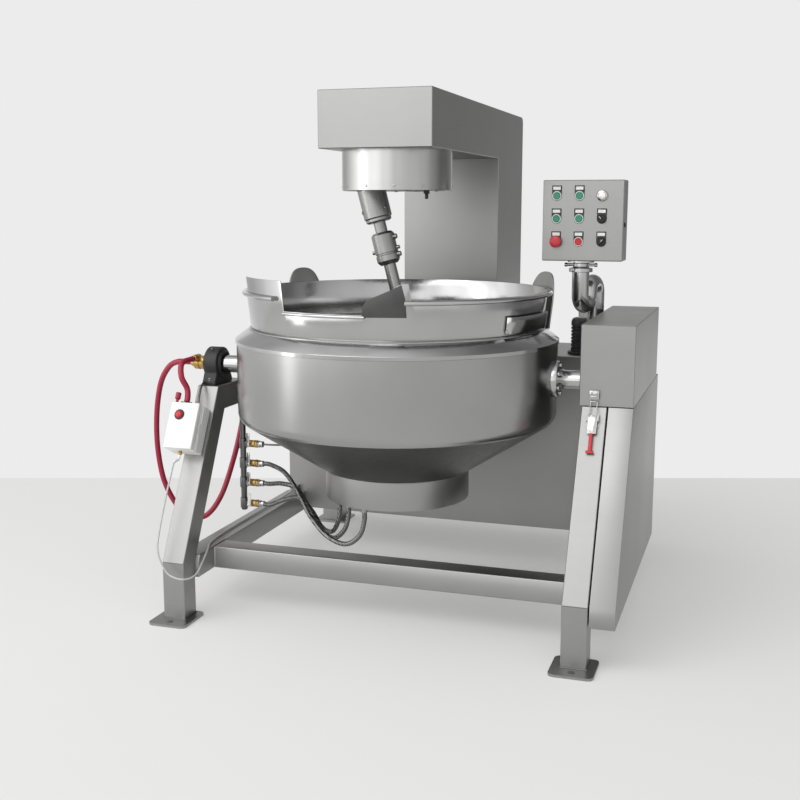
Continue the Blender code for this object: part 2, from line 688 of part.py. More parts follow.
def collar_r(z):
    return COLLAR_R + COLLAR_FLARE * (z - RIM_Z)


def collar_height(degrees):
    """Height of the splash collar's edge round the bowl."""
    if CHEEK_FROM <= degrees < NOTCH_FROM:
        return CHEEK_TOP
    if NOTCH_FROM <= degrees <= NOTCH_TO:
        return NOTCH_Z
    if NOTCH_TO < degrees <= WEDGE_TO:
        return NOTCH_Z + (CHEEK_TOP - NOTCH_Z) * (degrees - NOTCH_TO) / (WEDGE_TO - NOTCH_TO)
    if WEDGE_TO < degrees <= WEDGE_END:
        return CHEEK_TOP
    return COLLAR_TOP


def make_collar(bowl):
    """A flared sheet whose edge drops at the pouring notch and rises in a cheek on each side."""
    step = 0.25
    angles = {5.0 * k for k in range(72)}
    for edge in (CHEEK_FROM, NOTCH_FROM, WEDGE_END + step):
        angles |= {edge, edge - step}
    angles |= {NOTCH_TO, WEDGE_TO, WEDGE_END}
    bm = bmesh.new()
    columns = []
    for degrees in sorted(angles):
        top = collar_height(degrees)
        a = math.radians(degrees)
        column = []
        for r, z in ((COLLAR_R, RIM_Z + SEAT), (collar_r(top), top),
                     (collar_r(top) - SHEET, top), (COLLAR_R - SHEET, RIM_Z + SEAT)):
            column.append(bm.verts.new((r * math.cos(a), r * math.sin(a), z)))
        columns.append(column)
    for here, there in zip(columns, columns[1:] + columns[:1]):
        for k in range(4):
            n = (k + 1) % 4
            bm.faces.new((here[k], here[n], there[n], there[k]))
    finish(from_bmesh(bm), "splash_collar", POLISHED, bowl, smooth=True)


def make_rim_trim(bowl):
    def ring(start, end, radius, z, steps):
        return [(radius * math.cos(a), radius * math.sin(a), z)
                for a in (math.radians(start + (end - start) * k / steps) for k in range(steps + 1))]
    bar_z = COLLAR_TOP - BAR_R
    radius = collar_r(bar_z) + BAR_R + 2 * SEAT
    tube(ring(WEDGE_END - 2, 360 + NOTCH_FROM - 4, radius, bar_z, 56), BAR_R, "rim_bar", POLISHED, bowl, 1)
    lip_z = NOTCH_Z - LIP_R - 0.001
    tube(ring(NOTCH_FROM + 0.5, NOTCH_TO, collar_r(lip_z) + LIP_R + 2 * SEAT, lip_z, 9),
         LIP_R, "notch_lip", POLISHED, bowl, 1)
    for name, (middle, half) in LUG_ANGLES.items():
        make_lug(name, middle, half, radius + BAR_R, bowl)


def make_lug(name, middle, half, clear_of, bowl):
    """A rounded bracket that stands on the jacket's shoulder and leans out past the rim."""
    foot_r = clear_of - 0.004
    run = (FLANGE_R + 0.002) - (JACKET_R + BAND_PROUD)
    rise = (RIM_Z - PLATE - SEAT) - JACKET_TOP

    def shoulder(r):
        return JACKET_TOP + rise * (r - JACKET_R - BAND_PROUD) / run + SEAT * 2
    thick, lean_out = 0.005, 0.12
    bm = bmesh.new()
    columns = []
    steps = 8
    for k in range(steps + 1):
        t = -1 + 2 * k / steps
        a = math.radians(middle + half * t)
        top = COLLAR_TOP + (LUG_TOP - COLLAR_TOP) * math.sqrt(max(0.0, 1 - t * t)) - 0.05 * t ** 4
        column = []
        for add, z in ((thick, None), (thick, top), (0, top), (0, None)):
            z_low = shoulder(foot_r + add)
            height = z_low if z is None else z
            r = foot_r + add + lean_out * (height - z_low)
            column.append(bm.verts.new((r * math.cos(a), r * math.sin(a), height)))
        columns.append(column)
    for here, there in zip(columns, columns[1:]):
        for k in range(4):
            n = (k + 1) % 4
            bm.faces.new((here[k], here[n], there[n], there[k]))
    bm.faces.new(columns[0])
    bm.faces.new(columns[-1])
    finish(from_bmesh(bm), name, POLISHED, bowl, smooth=True)


def make_trunnion(name, side, end, bowl):
    start = side * (JACKET_R - 0.03)
    shaft = rod((start, 0, AXIS_Z), (side * end, 0, AXIS_Z), SHAFT_R, 24, 0.002)
    flange_end = side * (JACKET_R + TRUNNION_FLANGE)
    flange = rod((start, 0, AXIS_Z), (flange_end, 0, AXIS_Z), TRUNNION_FLANGE_R, 24)
    jacket = rod((0, 0, AXIS_Z - 0.3), (0, 0, AXIS_Z + 0.3), JACKET_R + 2 * SEAT, ROUND)
    finish(cut(join(shaft, flange), jacket), name, POLISHED, bowl, smooth=True)


def make_bearing(name, side):
    middle = side * LEG_MIDDLE
    foot, half = SEAT_TOP + SEAT, BEARING_LENGTH / 2
    outline = [(-half, foot), (half, foot), (half, foot + 0.016), (BEARING_R + 0.004, foot + 0.022)]
    outline += arc(0, AXIS_Z, BEARING_R, -30, 210, 10)
    outline += [(-BEARING_R - 0.004, foot + 0.022), (-half, foot + 0.016)]
    width = BEARING_WIDTH / 2
    block = prism(outline, "yz", middle - width, middle + width)
    boss_half = width + 0.008
    boss = rod((middle - boss_half, 0, AXIS_Z), (middle + boss_half, 0, AXIS_Z), BEARING_BOSS_R, 24)
    bolts = []
    for y in (-half + 0.016, half - 0.016):
        bolts.append(rod((middle, y, foot + 0.01), (middle, y, foot + 0.027), 0.011, 6))
    bore = rod((middle - 0.1, 0, AXIS_Z), (middle + 0.1, 0, AXIS_Z), SHAFT_R + RUNNING, 24)
    finish(cut(join(block, boss, *bolts), bore), name, CAST, smooth=True)


# Manifold and hoses

def make_manifold(bowl):
    top = AXIS_Z - 0.030
    pipe = rod((MANIFOLD_X, 0, VALVE_HEIGHTS[-1] - 0.025), (MANIFOLD_X, 0, AXIS_Z - SHAFT_R - SEAT * 2),
               MANIFOLD_R, 16)
    parts = []
    for z in VALVE_HEIGHTS:
        spindle_x = MANIFOLD_X + VALVE_FRONT
        parts.append(rod((MANIFOLD_X - 0.003, 0, z), (spindle_x + 0.004, 0, z), 0.009, 12))
        parts.append(rod((spindle_x - 0.008, 0, z), (spindle_x + 0.016, 0, z), 0.014, 6))
        parts.append(rod((spindle_x + 0.010, 0, z), (MANIFOLD_X + VALVE_REACH, 0, z), 0.0115, 12))
        parts.append(rod((spindle_x, 0, z), (spindle_x, -SPINDLE_REACH, z), 0.006, 10))
    clamp = box((MANIFOLD_X - 0.014, -0.014, top - 0.06), (MANIFOLD_X + 0.014, 0.014, top - 0.04))
    finish(join(pipe, clamp, *parts), "burner_manifold", BRUSHED, bowl)


def make_valve_lever(name, z, pivot):
    x = MANIFOLD_X + VALVE_FRONT
    low = -SPINDLE_REACH - SEAT
    blade = box((x - 0.006, low - 0.004, z - 0.008), (x + 0.006, low, z + 0.042))
    cap = rod((x, low, z), (x, low - 0.007, z), 0.008, 12)
    finish(join(blade, cap), name, POLISHED, pivot)


# Routes of the hoses and cables, through points chosen by hand
HOSE_R = 0.010
BURNER_HOSE_R = 0.008
CABLE_R = 0.003
RETURN_ROUTE = ((-0.7630, 0.0, 0.820), (-0.790, 0.0, 0.820), (-0.820, 0.002, 0.818),
                (-0.860, 0.010, 0.798), (-0.905, 0.025, 0.735),
                (-0.935, 0.040, 0.620), (-0.945, 0.055, 0.480), (-0.930, 0.075, 0.345),
                (-0.880, 0.105, 0.240), (-0.810, 0.140, 0.215), (-0.755, 0.175, 0.290),
                (-0.722, 0.225, 0.430), (-0.700, 0.255, 0.560), (-0.680, 0.255, 0.660),
                (-0.668, 0.215, 0.704), (-0.665, 0.180, 0.708), (-0.665, 0.1572, 0.708))
FEED_ROUTE = ((-0.734, -0.0450, 0.8380), (-0.734, -0.0650, 0.8380), (-0.740, -0.1150, 0.8300),
              (-0.730, -0.1380, 0.7880), (-0.715, -0.1290, 0.7480), (-0.709, -0.1366, 0.7195),
              (-0.709, -0.1448, 0.7035))
BURNER_MIDDLES = (
    ((-0.400, -0.030, 0.452), (-0.330, -0.080, 0.400), (-0.265, -0.130, 0.335), (-0.190, -0.170, 0.285),
     (-0.115, -0.192, 0.270), (-0.065, -0.195, 0.305)),
    ((-0.415, -0.020, 0.410), (-0.355, -0.035, 0.400), (-0.300, -0.060, 0.345), (-0.245, -0.100, 0.290),
     (-0.180, -0.140, 0.270), (-0.135, -0.152, 0.305)),
    ((-0.420, 0.010, 0.345), (-0.365, 0.010, 0.355), (-0.310, -0.010, 0.320), (-0.255, -0.050, 0.275),
     (-0.205, -0.085, 0.275), (-0.177, -0.100, 0.315)),
)
CABLE_ROUTE = ((-0.695, -0.270, 0.5215), (-0.696, -0.282, 0.498), (-0.700, -0.318, 0.420),
               (-0.703, -0.366, 0.310), (-0.700, -0.385, 0.240), (-0.668, -0.382, 0.172),
               (-0.616, -0.374, 0.155), (-0.594, -0.330, 0.160), (-0.594, -0.280, 0.190),
               (-0.602, -0.225, 0.2165), (-0.635, -0.140, 0.2125), (-0.650, 0.0, 0.2115),
               (-0.650, 0.300, 0.2115),
               (-0.650, 0.550, 0.2130), (-0.650, 0.590, 0.2196), (-0.650, 0.6247, 0.2200))


def make_hoses(bowl):
    tube(smooth_route(RETURN_ROUTE, 0.045), HOSE_R, "return_hose", RED_RUBBER)
    tube(smooth_route(FEED_ROUTE, 0.022), HOSE_R, "feed_hose", RED_RUBBER)
    for k, (height, (x, y)) in enumerate(zip(VALVE_HEIGHTS[1:], SOCKETS[::-1])):
        valve_x, socket_z = MANIFOLD_X + VALVE_REACH + 0.0005, SOCKET_LOW - 0.0005
        route = [(valve_x, 0, height), (valve_x + 0.0235, 0, height), *BURNER_MIDDLES[k],
                 (x, y, socket_z - 0.0285), (x, y, socket_z)]
        tube(smooth_route(route, 0.026), BURNER_HOSE_R, f"burner_hose_{k + 1}", BRAID, bowl)
    tube(smooth_route(CABLE_ROUTE, 0.036), CABLE_R, "ignition_cable", WHITE)


def make_union():
    """Brass rotary union on the end of the hollow left trunnion."""
    start = -STAND_HALF - 0.0015
    port_x, port_z = 0.0285 - UNION_END, AXIS_Z + 0.018
    body_part = rod((start, 0, AXIS_Z), (0.0145 - UNION_END, 0, AXIS_Z), UNION_R, 16, 0.003)
    nut = rod((0.0245 - UNION_END, 0, AXIS_Z), (-UNION_END, 0, AXIS_Z), 0.015, 6)
    port = rod((port_x, 0, port_z), (port_x, -0.0445, port_z), 0.013, 12)
    finish(join(body_part, nut, port), "rotary_union", BRASS)


# Ignition box, in the frame of the leg's leaning face

def on_leg(z):
    """Matrix whose Y points into the leg and whose Z runs up its leaning face."""
    lean = math.atan(SLOPE)
    return Matrix.Translation((IGNITION_X, leg_front(z), z)) @ Matrix.Rotation(-lean, 4, "X")


def make_ignition(button):
    matrix = on_leg(IGNITION_Z)
    half, deep, tall = IGNITION_SIZE[0] / 2, IGNITION_SIZE[1], IGNITION_SIZE[2] / 2
    x, z = IGNITION_BUTTON
    case = box((-half, -deep, -tall), (half, -SEAT, tall), 0.004)
    hole = rod((x, -deep - 0.01, z), (x, -deep + 0.014, z), BUTTON_R + 0.0006)
    bezel = rod((x, -deep + 0.002, z), (x, -deep - 0.004, z), BUTTON_R + 0.004)
    gland_x = -0.019
    top_gland = rod((gland_x, -0.045, tall - 0.002), (gland_x, -0.045, tall + 0.013), 0.014, 6)
    low_gland = rod((-0.005, -0.045, -tall + 0.002), (-0.005, -0.045, -tall - 0.014), 0.007, 6)
    case = cut(join(case, bezel, top_gland, low_gland), hole)
    case.data.transform(matrix)
    finish(case, "ignition_box", WHITE)
    knob = rod((x, -deep - 0.010, z), (x, -deep + 0.006, z), BUTTON_R, chamfer=0.001)
    knob.data.transform(matrix)
    finish(knob, "ignition_button", RED, button, smooth=True)


# Right-hand housing

def make_housing():
    low, high = (COVER_IN, COVER_FRONT, COVER_SPLIT + SEAT), (COVER_OUT, COVER_BACK, COVER_TOP)
    cover = box(low, high, EDGE)
    below = COVER_SPLIT - 0.05
    hollow = box((COVER_IN + SHEET, COVER_FRONT + SHEET, below),
                 (COVER_OUT - SHEET, COVER_BACK - SHEET, COVER_TOP - SHEET))
    slot_half = SHAFT_R + 0.006
    slot = box((COVER_IN - 0.01, -slot_half, below), (COVER_IN + 0.01, slot_half, AXIS_Z))
    round_top = rod((COVER_IN - 0.01, 0, AXIS_Z), (COVER_IN + 0.01, 0, AXIS_Z), slot_half, 24)
    keeper_z = COVER_SPLIT + 0.022
    keeper = box((LATCH_X - 0.012, COVER_FRONT - 0.006, keeper_z),
                 (LATCH_X + 0.012, COVER_FRONT + 0.001, keeper_z + 0.030))
    finish(join(cut(cover, hollow, slot, round_top), keeper), "upper_cover", BRUSHED)

    def outline(inset, top):
        foot = CABINET_LOW + inset
        return [(LEG_FRONT + inset, foot), (LEG_FRONT + inset, KNEE_Z), (leg_front(top) + inset, top),
                (SIDE_BACK - inset, top), (SIDE_BACK - inset, foot)]
    side_in = STAND_HALF + SIDE_GAP
    shell = prism(outline(0, COVER_SPLIT), "yz", side_in, COVER_OUT)
    inside = prism(outline(SHEET, COVER_SPLIT + 0.05), "yz", side_in + SHEET, COVER_OUT - SHEET)
    finish(cut(shell, inside), "side_cover", BRUSHED)

    case_in, case_out, case_back = STAND_HALF + 0.0085, COVER_OUT - 0.013, 0.120
    case = box((case_in, COVER_FRONT + 0.007, COVER_SPLIT + 0.006),
               (case_out, case_back, AXIS_Z + 0.080), 0.006)
    bore = rod((case_in - 0.01, 0, AXIS_Z), (case_out + 0.01, 0, AXIS_Z), SHAFT_R + RUNNING, 24)
    motor_x, motor_z = (case_in + case_out) / 2, AXIS_Z + 0.030
    motor = rod((motor_x, case_back - 0.005, motor_z), (motor_x, case_back + DRIVE_MOTOR_LENGTH, motor_z),
                DRIVE_MOTOR_R, 16, 0.004)
    finish(join(cut(case, bore), motor), "tilt_gearbox", MOTOR_GREY, smooth=True)


def make_pump():
    place = Matrix.Translation((PUMP_X, PUMP_Y, 0))
    foot, flange_r = CABINET_TOP + SEAT, PUMP_R + 0.012
    top = foot + PUMP_HEIGHT
    body_part = [(0, foot), (flange_r, foot), (flange_r, foot + 0.008), (PUMP_R, foot + 0.010),
                 (PUMP_R, top - 0.015), (PUMP_R - 0.008, top), (0, top)]
    finish(turned(body_part, 24, place), "pump_motor", MOTOR_GREY, smooth=True)
    low, high = top + SEAT, top + SEAT + CAP_HEIGHT
    cap = [(0, low), (CAP_R, low), (CAP_R, high - 0.004), (CAP_R - 0.004, high), (0, high)]
    finish(turned(cap, 16, place), "filler_cap", WHITE, smooth=True)


def on_latch():
    lean = math.atan(SLOPE)
    return Matrix.Translation((LATCH_X, leg_front(LATCH_Z), LATCH_Z)) @ Matrix.Rotation(-lean, 4, "X")


def make_latch_base():
    plate = box((-0.020, -0.003, -0.028), (0.020, 0.004, 0.020))
    ears = [box((s * 0.017 - 0.002, -0.016, -0.012), (s * 0.017 + 0.002, 0.001, 0.010)) for s in (-1, 1)]
    base = join(plate, *ears)
    base.data.transform(on_latch())
    return base


def make_latch(lever):
    """Toggle latch that holds the upper cover to the leg."""
    arm = box((-0.0145, -0.0145, -0.058), (0.0145, -0.0105, 0.008))
    grip = box((-0.006, -0.0145, -0.110), (0.006, -0.0085, -0.056))
    foot = box((-0.012, -0.0145, -0.114), (0.012, -0.0085, -0.106))
    arm = join(arm, grip, foot)
    arm.data.transform(on_latch())
    finish(arm, "latch_lever", RED, lever)


# Pendant

def make_pendant(swivel):
    run = Vector((SWIVEL_X - POST_X, SWIVEL_Y - POST_Y, 0))
    bend = run.length / 4
    run.normalize()

    def place(t, z):
        return (POST_X + run.x * t, POST_Y + run.y * t, z)
    base_top = RAIL_TOP + SEAT + 0.008
    points = [place(0, base_top - 0.004), place(0, (base_top + BEND_Z) / 2)]
    points += [place(t, z) for t, z in arc(bend, BEND_Z, bend, 180, 0, 10)]
    points += [place(t, z) for t, z in arc(3 * bend, BEND_Z, bend, 180, 360, 10)[1:]]
    points.append(place(4 * bend, SWIVEL_Z))
    pipe = tube(points, POST_R, "pendant_post", POLISHED, STAND, 4)
    mesh = bpy.data.meshes.new_from_object(pipe)
    bpy.data.objects.remove(pipe, do_unlink=True)
    post = link(mesh, "pendant_post")
    base = box((POST_X - 0.045, POST_Y - 0.06, RAIL_TOP + SEAT),
               (STAND_HALF - 0.004, POST_Y + 0.06, base_top))
    finish(join(post, base), "pendant_post", POLISHED, smooth=True)

    low = SWIVEL_Z + SEAT
    neck = turned([(0, low), (0.040, low), (0.040, low + 0.014), (0.026, low + 0.018),
                   (0.026, BOX_LOW[2] - 0.008), (0.045, BOX_LOW[2] - 0.006), (0.045, BOX_LOW[2] - SEAT),
                   (0, BOX_LOW[2] - SEAT)], 24, Matrix.Translation((SWIVEL_X, SWIVEL_Y, 0)))
    wing_z = low + 0.024
    wings = rod((SWIVEL_X - 0.056, SWIVEL_Y, wing_z), (SWIVEL_X + 0.056, SWIVEL_Y, wing_z), 0.007, 12)
    finish(join(neck, wings), "pendant_clamp", POLISHED, swivel, smooth=True)


def button_place(column, row):
    return BUTTON_X + BUTTON_STEP * column, BUTTON_Z - BUTTON_STEP * row


def make_pendant_box(swivel):
    case = box(BOX_LOW, BOX_HIGH, 0.003)
    face = BOX_LOW[1]
    holes = []
    for row in range(3):
        for column in range(3):
            x, z = button_place(column, row)
            holes.append(rod((x, face - 0.02, z), (x, face + 0.014, z), BUTTON_R + 0.0006))
    finish(cut(case, together(holes)), "pendant_box", BRUSHED, swivel)
    x, z = button_place(2, 0)
    lamp = turned([(0, -0.006), (BUTTON_R, -0.006), (BUTTON_R, 0.008), (0.009, 0.015), (0, 0.017)],
                  16, along((x, face, z), (x, face - 1, z)))
    finish(lamp, "pilot_lamp", WHITE, swivel, smooth=True)


def make_button(name, column, row, skin, carrier):
    x, z = button_place(column, row)
    face = BOX_LOW[1]
    knob = rod((x, face + 0.006, z), (x, face - 0.0085, z), BUTTON_R, 16, 0.0015)
    finish(knob, name, skin, carrier, smooth=True)


def make_emergency(carrier):
    x, z = button_place(0, 2)
    face = BOX_LOW[1]
    profile = [(0, -0.006), (BUTTON_R, -0.006), (BUTTON_R, 0.011), (MUSHROOM_R, 0.012),
               (MUSHROOM_R, 0.019), (MUSHROOM_R - 0.0035, 0.023), (0, 0.024)]
    mushroom = turned(profile, 16, along((x, face, z), (x, face - 1, z)))
    finish(mushroom, "emergency_stop", RED, carrier, smooth=True)


def make_selector(name, row, carrier):
    x, z = button_place(2, row)
    face = BOX_LOW[1]
    knob = rod((x, face + 0.006, z), (x, face - 0.007, z), BUTTON_R)
    grip = box((-0.0035, face - 0.020, -0.0118), (0.0035, face - 0.005, 0.0118))
    turn = -40 if row == 1 else 40
    grip.data.transform(Matrix.Translation((x, 0, z)) @ Matrix.Rotation(math.radians(turn), 4, "Y"))
    finish(join(knob, grip), name, BLACK, carrier)


# Assembly

make_stand()
make_cabinet()
make_column()

head_body = body("head_axis", (0, HINGE_Y, HINGE_Z))
make_hinge_pin()
make_arm(head_body)
carrier_body = body("carrier_axis", (0, 0, DRUM_LOW), head_body[0], head_body[1])
make_carrier(carrier_body)
agitator_body = body("agitator_axis", (0, 0, APEX_Z), carrier_body[0], carrier_body[1])
make_agitator(agitator_body)

bowl_body = body("bowl_axis", (0, 0, AXIS_Z))
make_bowl(bowl_body)
make_collar(bowl_body)
make_rim_trim(bowl_body)
make_trunnion("left_trunnion", -1, STAND_HALF + 0.001, bowl_body)
make_trunnion("right_trunnion", 1, COVER_OUT - 0.017, bowl_body)
make_manifold(bowl_body)
for number, height in enumerate(VALVE_HEIGHTS, 1):
    pivot_place = (MANIFOLD_X + VALVE_FRONT, -SPINDLE_REACH, height)
    lever_body = body(f"valve_axis_{number}", pivot_place, bowl_body[0], bowl_body[1])
    make_valve_lever(f"valve_lever_{number}", height, lever_body)
make_hoses(bowl_body)
make_bearing("left_bearing", -1)
make_bearing("right_bearing", 1)
make_union()

button_x, button_z = IGNITION_BUTTON
ignition_body = body("ignition_button_axis",
                     on_leg(IGNITION_Z) @ Vector((button_x, -IGNITION_SIZE[1], button_z)))
make_ignition(ignition_body)
make_housing()
make_pump()
latch_body = body("latch_axis", (LATCH_X, leg_front(LATCH_Z), LATCH_Z))
make_latch(latch_body)

pendant_body = body("pendant_axis", (SWIVEL_X, SWIVEL_Y, SWIVEL_Z))
make_pendant(pendant_body)
make_pendant_box(pendant_body)
BUTTONS = (("start_button_1", 0, 0, GREEN), ("start_button_2", 1, 0, GREEN),
           ("start_button_3", 0, 1, GREEN), ("start_button_4", 1, 1, GREEN), ("stop_button", 1, 2, RED))
for label, column, row, colour in BUTTONS:
    x, z = button_place(column, row)
    make_button(label, column, row, colour,
                body(f"{label}_axis", (x, BOX_LOW[1], z), pendant_body[0], pendant_body[1]))
x, z = button_place(0, 2)
make_emergency(body("emergency_axis", (x, BOX_LOW[1], z), pendant_body[0], pendant_body[1]))
for label, row in (("selector_1", 1), ("selector_2", 2)):
    x, z = button_place(2, row)
    make_selector(label, row, body(f"{label}_axis", (x, BOX_LOW[1], z), pendant_body[0], pendant_body[1]))
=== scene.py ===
import json
import math

import bpy
from mathutils import Matrix, Vector


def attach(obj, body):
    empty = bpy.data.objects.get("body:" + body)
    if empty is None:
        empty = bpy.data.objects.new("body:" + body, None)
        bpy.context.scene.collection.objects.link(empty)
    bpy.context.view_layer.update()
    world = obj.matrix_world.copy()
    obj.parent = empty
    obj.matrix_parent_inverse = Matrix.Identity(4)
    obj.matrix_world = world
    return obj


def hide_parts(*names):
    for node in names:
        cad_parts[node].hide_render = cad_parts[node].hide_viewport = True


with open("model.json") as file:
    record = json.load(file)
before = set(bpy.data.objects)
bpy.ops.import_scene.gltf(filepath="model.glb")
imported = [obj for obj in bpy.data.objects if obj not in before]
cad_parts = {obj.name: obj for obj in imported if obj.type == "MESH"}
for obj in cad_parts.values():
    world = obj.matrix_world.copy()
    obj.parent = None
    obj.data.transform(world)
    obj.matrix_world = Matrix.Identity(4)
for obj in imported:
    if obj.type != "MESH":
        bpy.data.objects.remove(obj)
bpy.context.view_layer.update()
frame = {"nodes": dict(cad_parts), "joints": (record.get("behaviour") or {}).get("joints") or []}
jointPlaces = {joint["name"]: Vector(joint["pos_m"]) for joint in frame["joints"] if "pos_m" in joint}
bowlAxis = Vector((jointPlaces["carrier_spin"].x, jointPlaces["carrier_spin"].y, 0))
apex = jointPlaces["agitator_spin"]
print("frame loaded", len(frame["nodes"]), "nodes")


def fromBowl(x, y, z):
    # places are measured from the floor under the bowl's axis
    return Vector((x, y, z)) + bowlAxis


# Working helpers
routeSteps = 24    # samples between two of a route's points


def startFresh():
    if bpy.context.object and bpy.context.object.mode != "OBJECT":
        bpy.ops.object.mode_set(mode="OBJECT")
    bpy.ops.object.select_all(action="DESELECT")


def keepName(name):
    made = bpy.context.object
    made.name = name
    made.data.name = name
    return made


def pickOne(made):
    startFresh()
    made.select_set(True)
    bpy.context.view_layer.objects.active = made


def setDown(made):
    # puts a piece's place into its mesh
    pickOne(made)
    bpy.ops.object.transform_apply(location=True, rotation=True, scale=True)
    return made


def applyModifier(made, kind, **settings):
    pickOne(made)
    step = made.modifiers.new(kind.lower(), kind)
    for key, value in settings.items():
        setattr(step, key, value)
    bpy.ops.object.modifier_apply(modifier=step.name)
    return made


def smoothOver(made, degrees=35):
    pickOne(made)
    bpy.ops.object.shade_smooth_by_angle(angle=math.radians(degrees))
    return made


def roundEdges(made, width, segments=3, degrees=40):
    applyModifier(made, "BEVEL", width=width, segments=segments, limit_method="ANGLE",
                  angle_limit=math.radians(degrees))
    return smoothOver(made)


def addBlock(name, low, high, edge=0.002, segments=2):
    startFresh()
    low, high = Vector(low), Vector(high)
    bpy.ops.mesh.primitive_cube_add(size=1, location=(low + high) / 2, scale=high - low)
    made = setDown(keepName(name))
    return roundEdges(made, edge, segments) if edge else made


def addRod(name, start, end, radius, edge=0.0, sides=32):
    startFresh()
    start, end = Vector(start), Vector(end)
    turn = (end - start).to_track_quat("Z", "Y").to_euler()
    bpy.ops.mesh.primitive_cylinder_add(vertices=sides, radius=radius, depth=(end - start).length,
                                        location=(start + end) / 2, rotation=turn)
    made = setDown(keepName(name))
    return roundEdges(made, edge, 2) if edge else smoothOver(made)


def addUpright(name, x, y, low, high, radius, edge=0.0, sides=32):
    return addRod(name, (x, y, low), (x, y, high), radius, edge, sides)


def drawLine(name, points):
    # one corner, extruded from point to point
    startFresh()
    points = [Vector(p) for p in points]
    bpy.ops.mesh.primitive_plane_add(size=0.01, location=points[0])
    made = setDown(keepName(name))
    bpy.ops.object.mode_set(mode="EDIT")
    bpy.ops.mesh.select_all(action="SELECT")
    bpy.ops.mesh.merge(type="CENTER")
    for before, after in zip(points, points[1:]):
        bpy.ops.mesh.extrude_region_move(TRANSFORM_OT_translate={"value": after - before})
    return made


def closeUp(made):
    bpy.ops.mesh.select_all(action="SELECT")
    bpy.ops.mesh.remove_doubles(threshold=0.00001)
    bpy.ops.mesh.normals_make_consistent(inside=False)
    bpy.ops.object.mode_set(mode="OBJECT")
    return made


def turnRound(name, outline, centre=None, axis=(0, 0, 1), steps=96, closed=False, sharp=30):
    # outline holds (radius, height) pairs, the heights measured along the axis from the centre
    centre = Vector(centre) if centre is not None else Vector()
    axis = Vector(axis).normalized()
    out = axis.orthogonal().normalized()
    if abs(axis.z) > 0.999:
        out = Vector((1, 0, 0))
    pairs = list(outline) + ([outline[0]] if closed else [])
    drawLine(name, [centre + out * r + axis * h for r, h in pairs])
    bpy.ops.mesh.select_all(action="SELECT")
    bpy.ops.mesh.spin(steps=steps, angle=2 * math.pi, center=centre, axis=axis)
    return smoothOver(closeUp(bpy.context.object), sharp)


def pullOut(name, corners, push, edge=0.0, segments=2):
    # a flat face through the corners, pulled out into a plate
    startFresh()
    made = drawLine(name, corners)
    bpy.ops.mesh.select_all(action="SELECT")
    bpy.ops.mesh.edge_face_add()
    bpy.ops.mesh.extrude_region_move(TRANSFORM_OT_translate={"value": Vector(push)})
    closeUp(made)
    return roundEdges(made, edge, segments) if edge else smoothOver(made)


def arcPoints(centreA, centreB, radius, start, end, steps):
    turns = [math.radians(start + (end - start) * k / steps) for k in range(steps + 1)]
    return [(centreA + radius * math.cos(t), centreB + radius * math.sin(t)) for t in turns]


def straight(start, end, steps):
    return [Vector(start).lerp(Vector(end), k / steps) for k in range(steps + 1)]


def joinUp(name, pieces):
    startFresh()
    for piece in pieces:
        piece.select_set(True)
    bpy.context.view_layer.objects.active = pieces[0]
    bpy.ops.object.join()
    return keepName(name)


def cutAway(made, cutter):
    applyModifier(made, "BOOLEAN", operation="DIFFERENCE", solver="EXACT", object=cutter)
    bpy.data.objects.remove(cutter, do_unlink=True)
    return made


def domePoints(radius, level, rise, start, step):
    turns = [math.radians(a) for a in range(start, 91, step)]
    return [(radius * math.cos(t), level + rise * math.sin(t)) for t in turns]


def easeRoute(points, spacing):
    # a smooth curve through the route's own points, read at even steps
    path = [Vector(p) for p in points]
    path = [path[0] * 2 - path[1]] + path + [path[-1] * 2 - path[-2]]
    fine = []
    for a, b, c, d in zip(path, path[1:], path[2:], path[3:]):
        for k in range(routeSteps):
            t = k / routeSteps
            fine.append(0.5 * ((2 * b) + (c - a) * t + (2 * a - 5 * b + 4 * c - d) * t * t
                               + (3 * b - a - 3 * c + d) * t ** 3))
    fine.append(path[-2])
    total = sum((q - p).length for p, q in zip(fine, fine[1:]))
    count = max(2, round(total / spacing))
    kept, walked, wanted = [fine[0]], 0.0, total / count
    for p, q in zip(fine, fine[1:]):
        step = (q - p).length
        while walked + step >= wanted * len(kept) and len(kept) < count:
            kept.append(p.lerp(q, (wanted * len(kept) - walked) / step))
        walked += step
    kept.append(fine[-1])
    return kept


def bendTube(name, points, radius, sides=6, caps=True):
    # a curve with a round bevel; its points are already in place
    startFresh()
    bpy.ops.curve.primitive_nurbs_path_add()
    made = keepName(name)
    made.location = (0, 0, 0)
    made.data.splines.clear()
    spline = made.data.splines.new("POLY")
    spline.points.add(len(points) - 1)
    for point, place in zip(spline.points, points):
        point.co = (*place, 1)
    made.data.bevel_depth = radius
    made.data.bevel_resolution = sides
    made.data.use_fill_caps = caps
    spline.use_smooth = True
    return made


def toMesh(made):
    pickOne(made)
    bpy.ops.object.convert(target="MESH")
    return smoothOver(bpy.context.object, 50)


def addTube(name, points, radius, sides):
    return toMesh(bendTube(name, points, radius, sides))


def finishPiece(made, skin, body, slot, *replaced):
    made.location = bowlAxis
    setDown(made)
    made.data.materials.clear()
    made.data.materials.append(skin)
    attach(made, body)
    if replaced:
        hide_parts(*replaced)
    return made


# Materials

def fromHex(text):
    # sRGB hex to the linear values that Blender mixes
    parts = [int(text[k:k + 2], 16) / 255 for k in (1, 3, 5)]
    return tuple(p / 12.92 if p <= 0.04045 else ((p + 0.055) / 1.055) ** 2.4 for p in parts) + (1,)


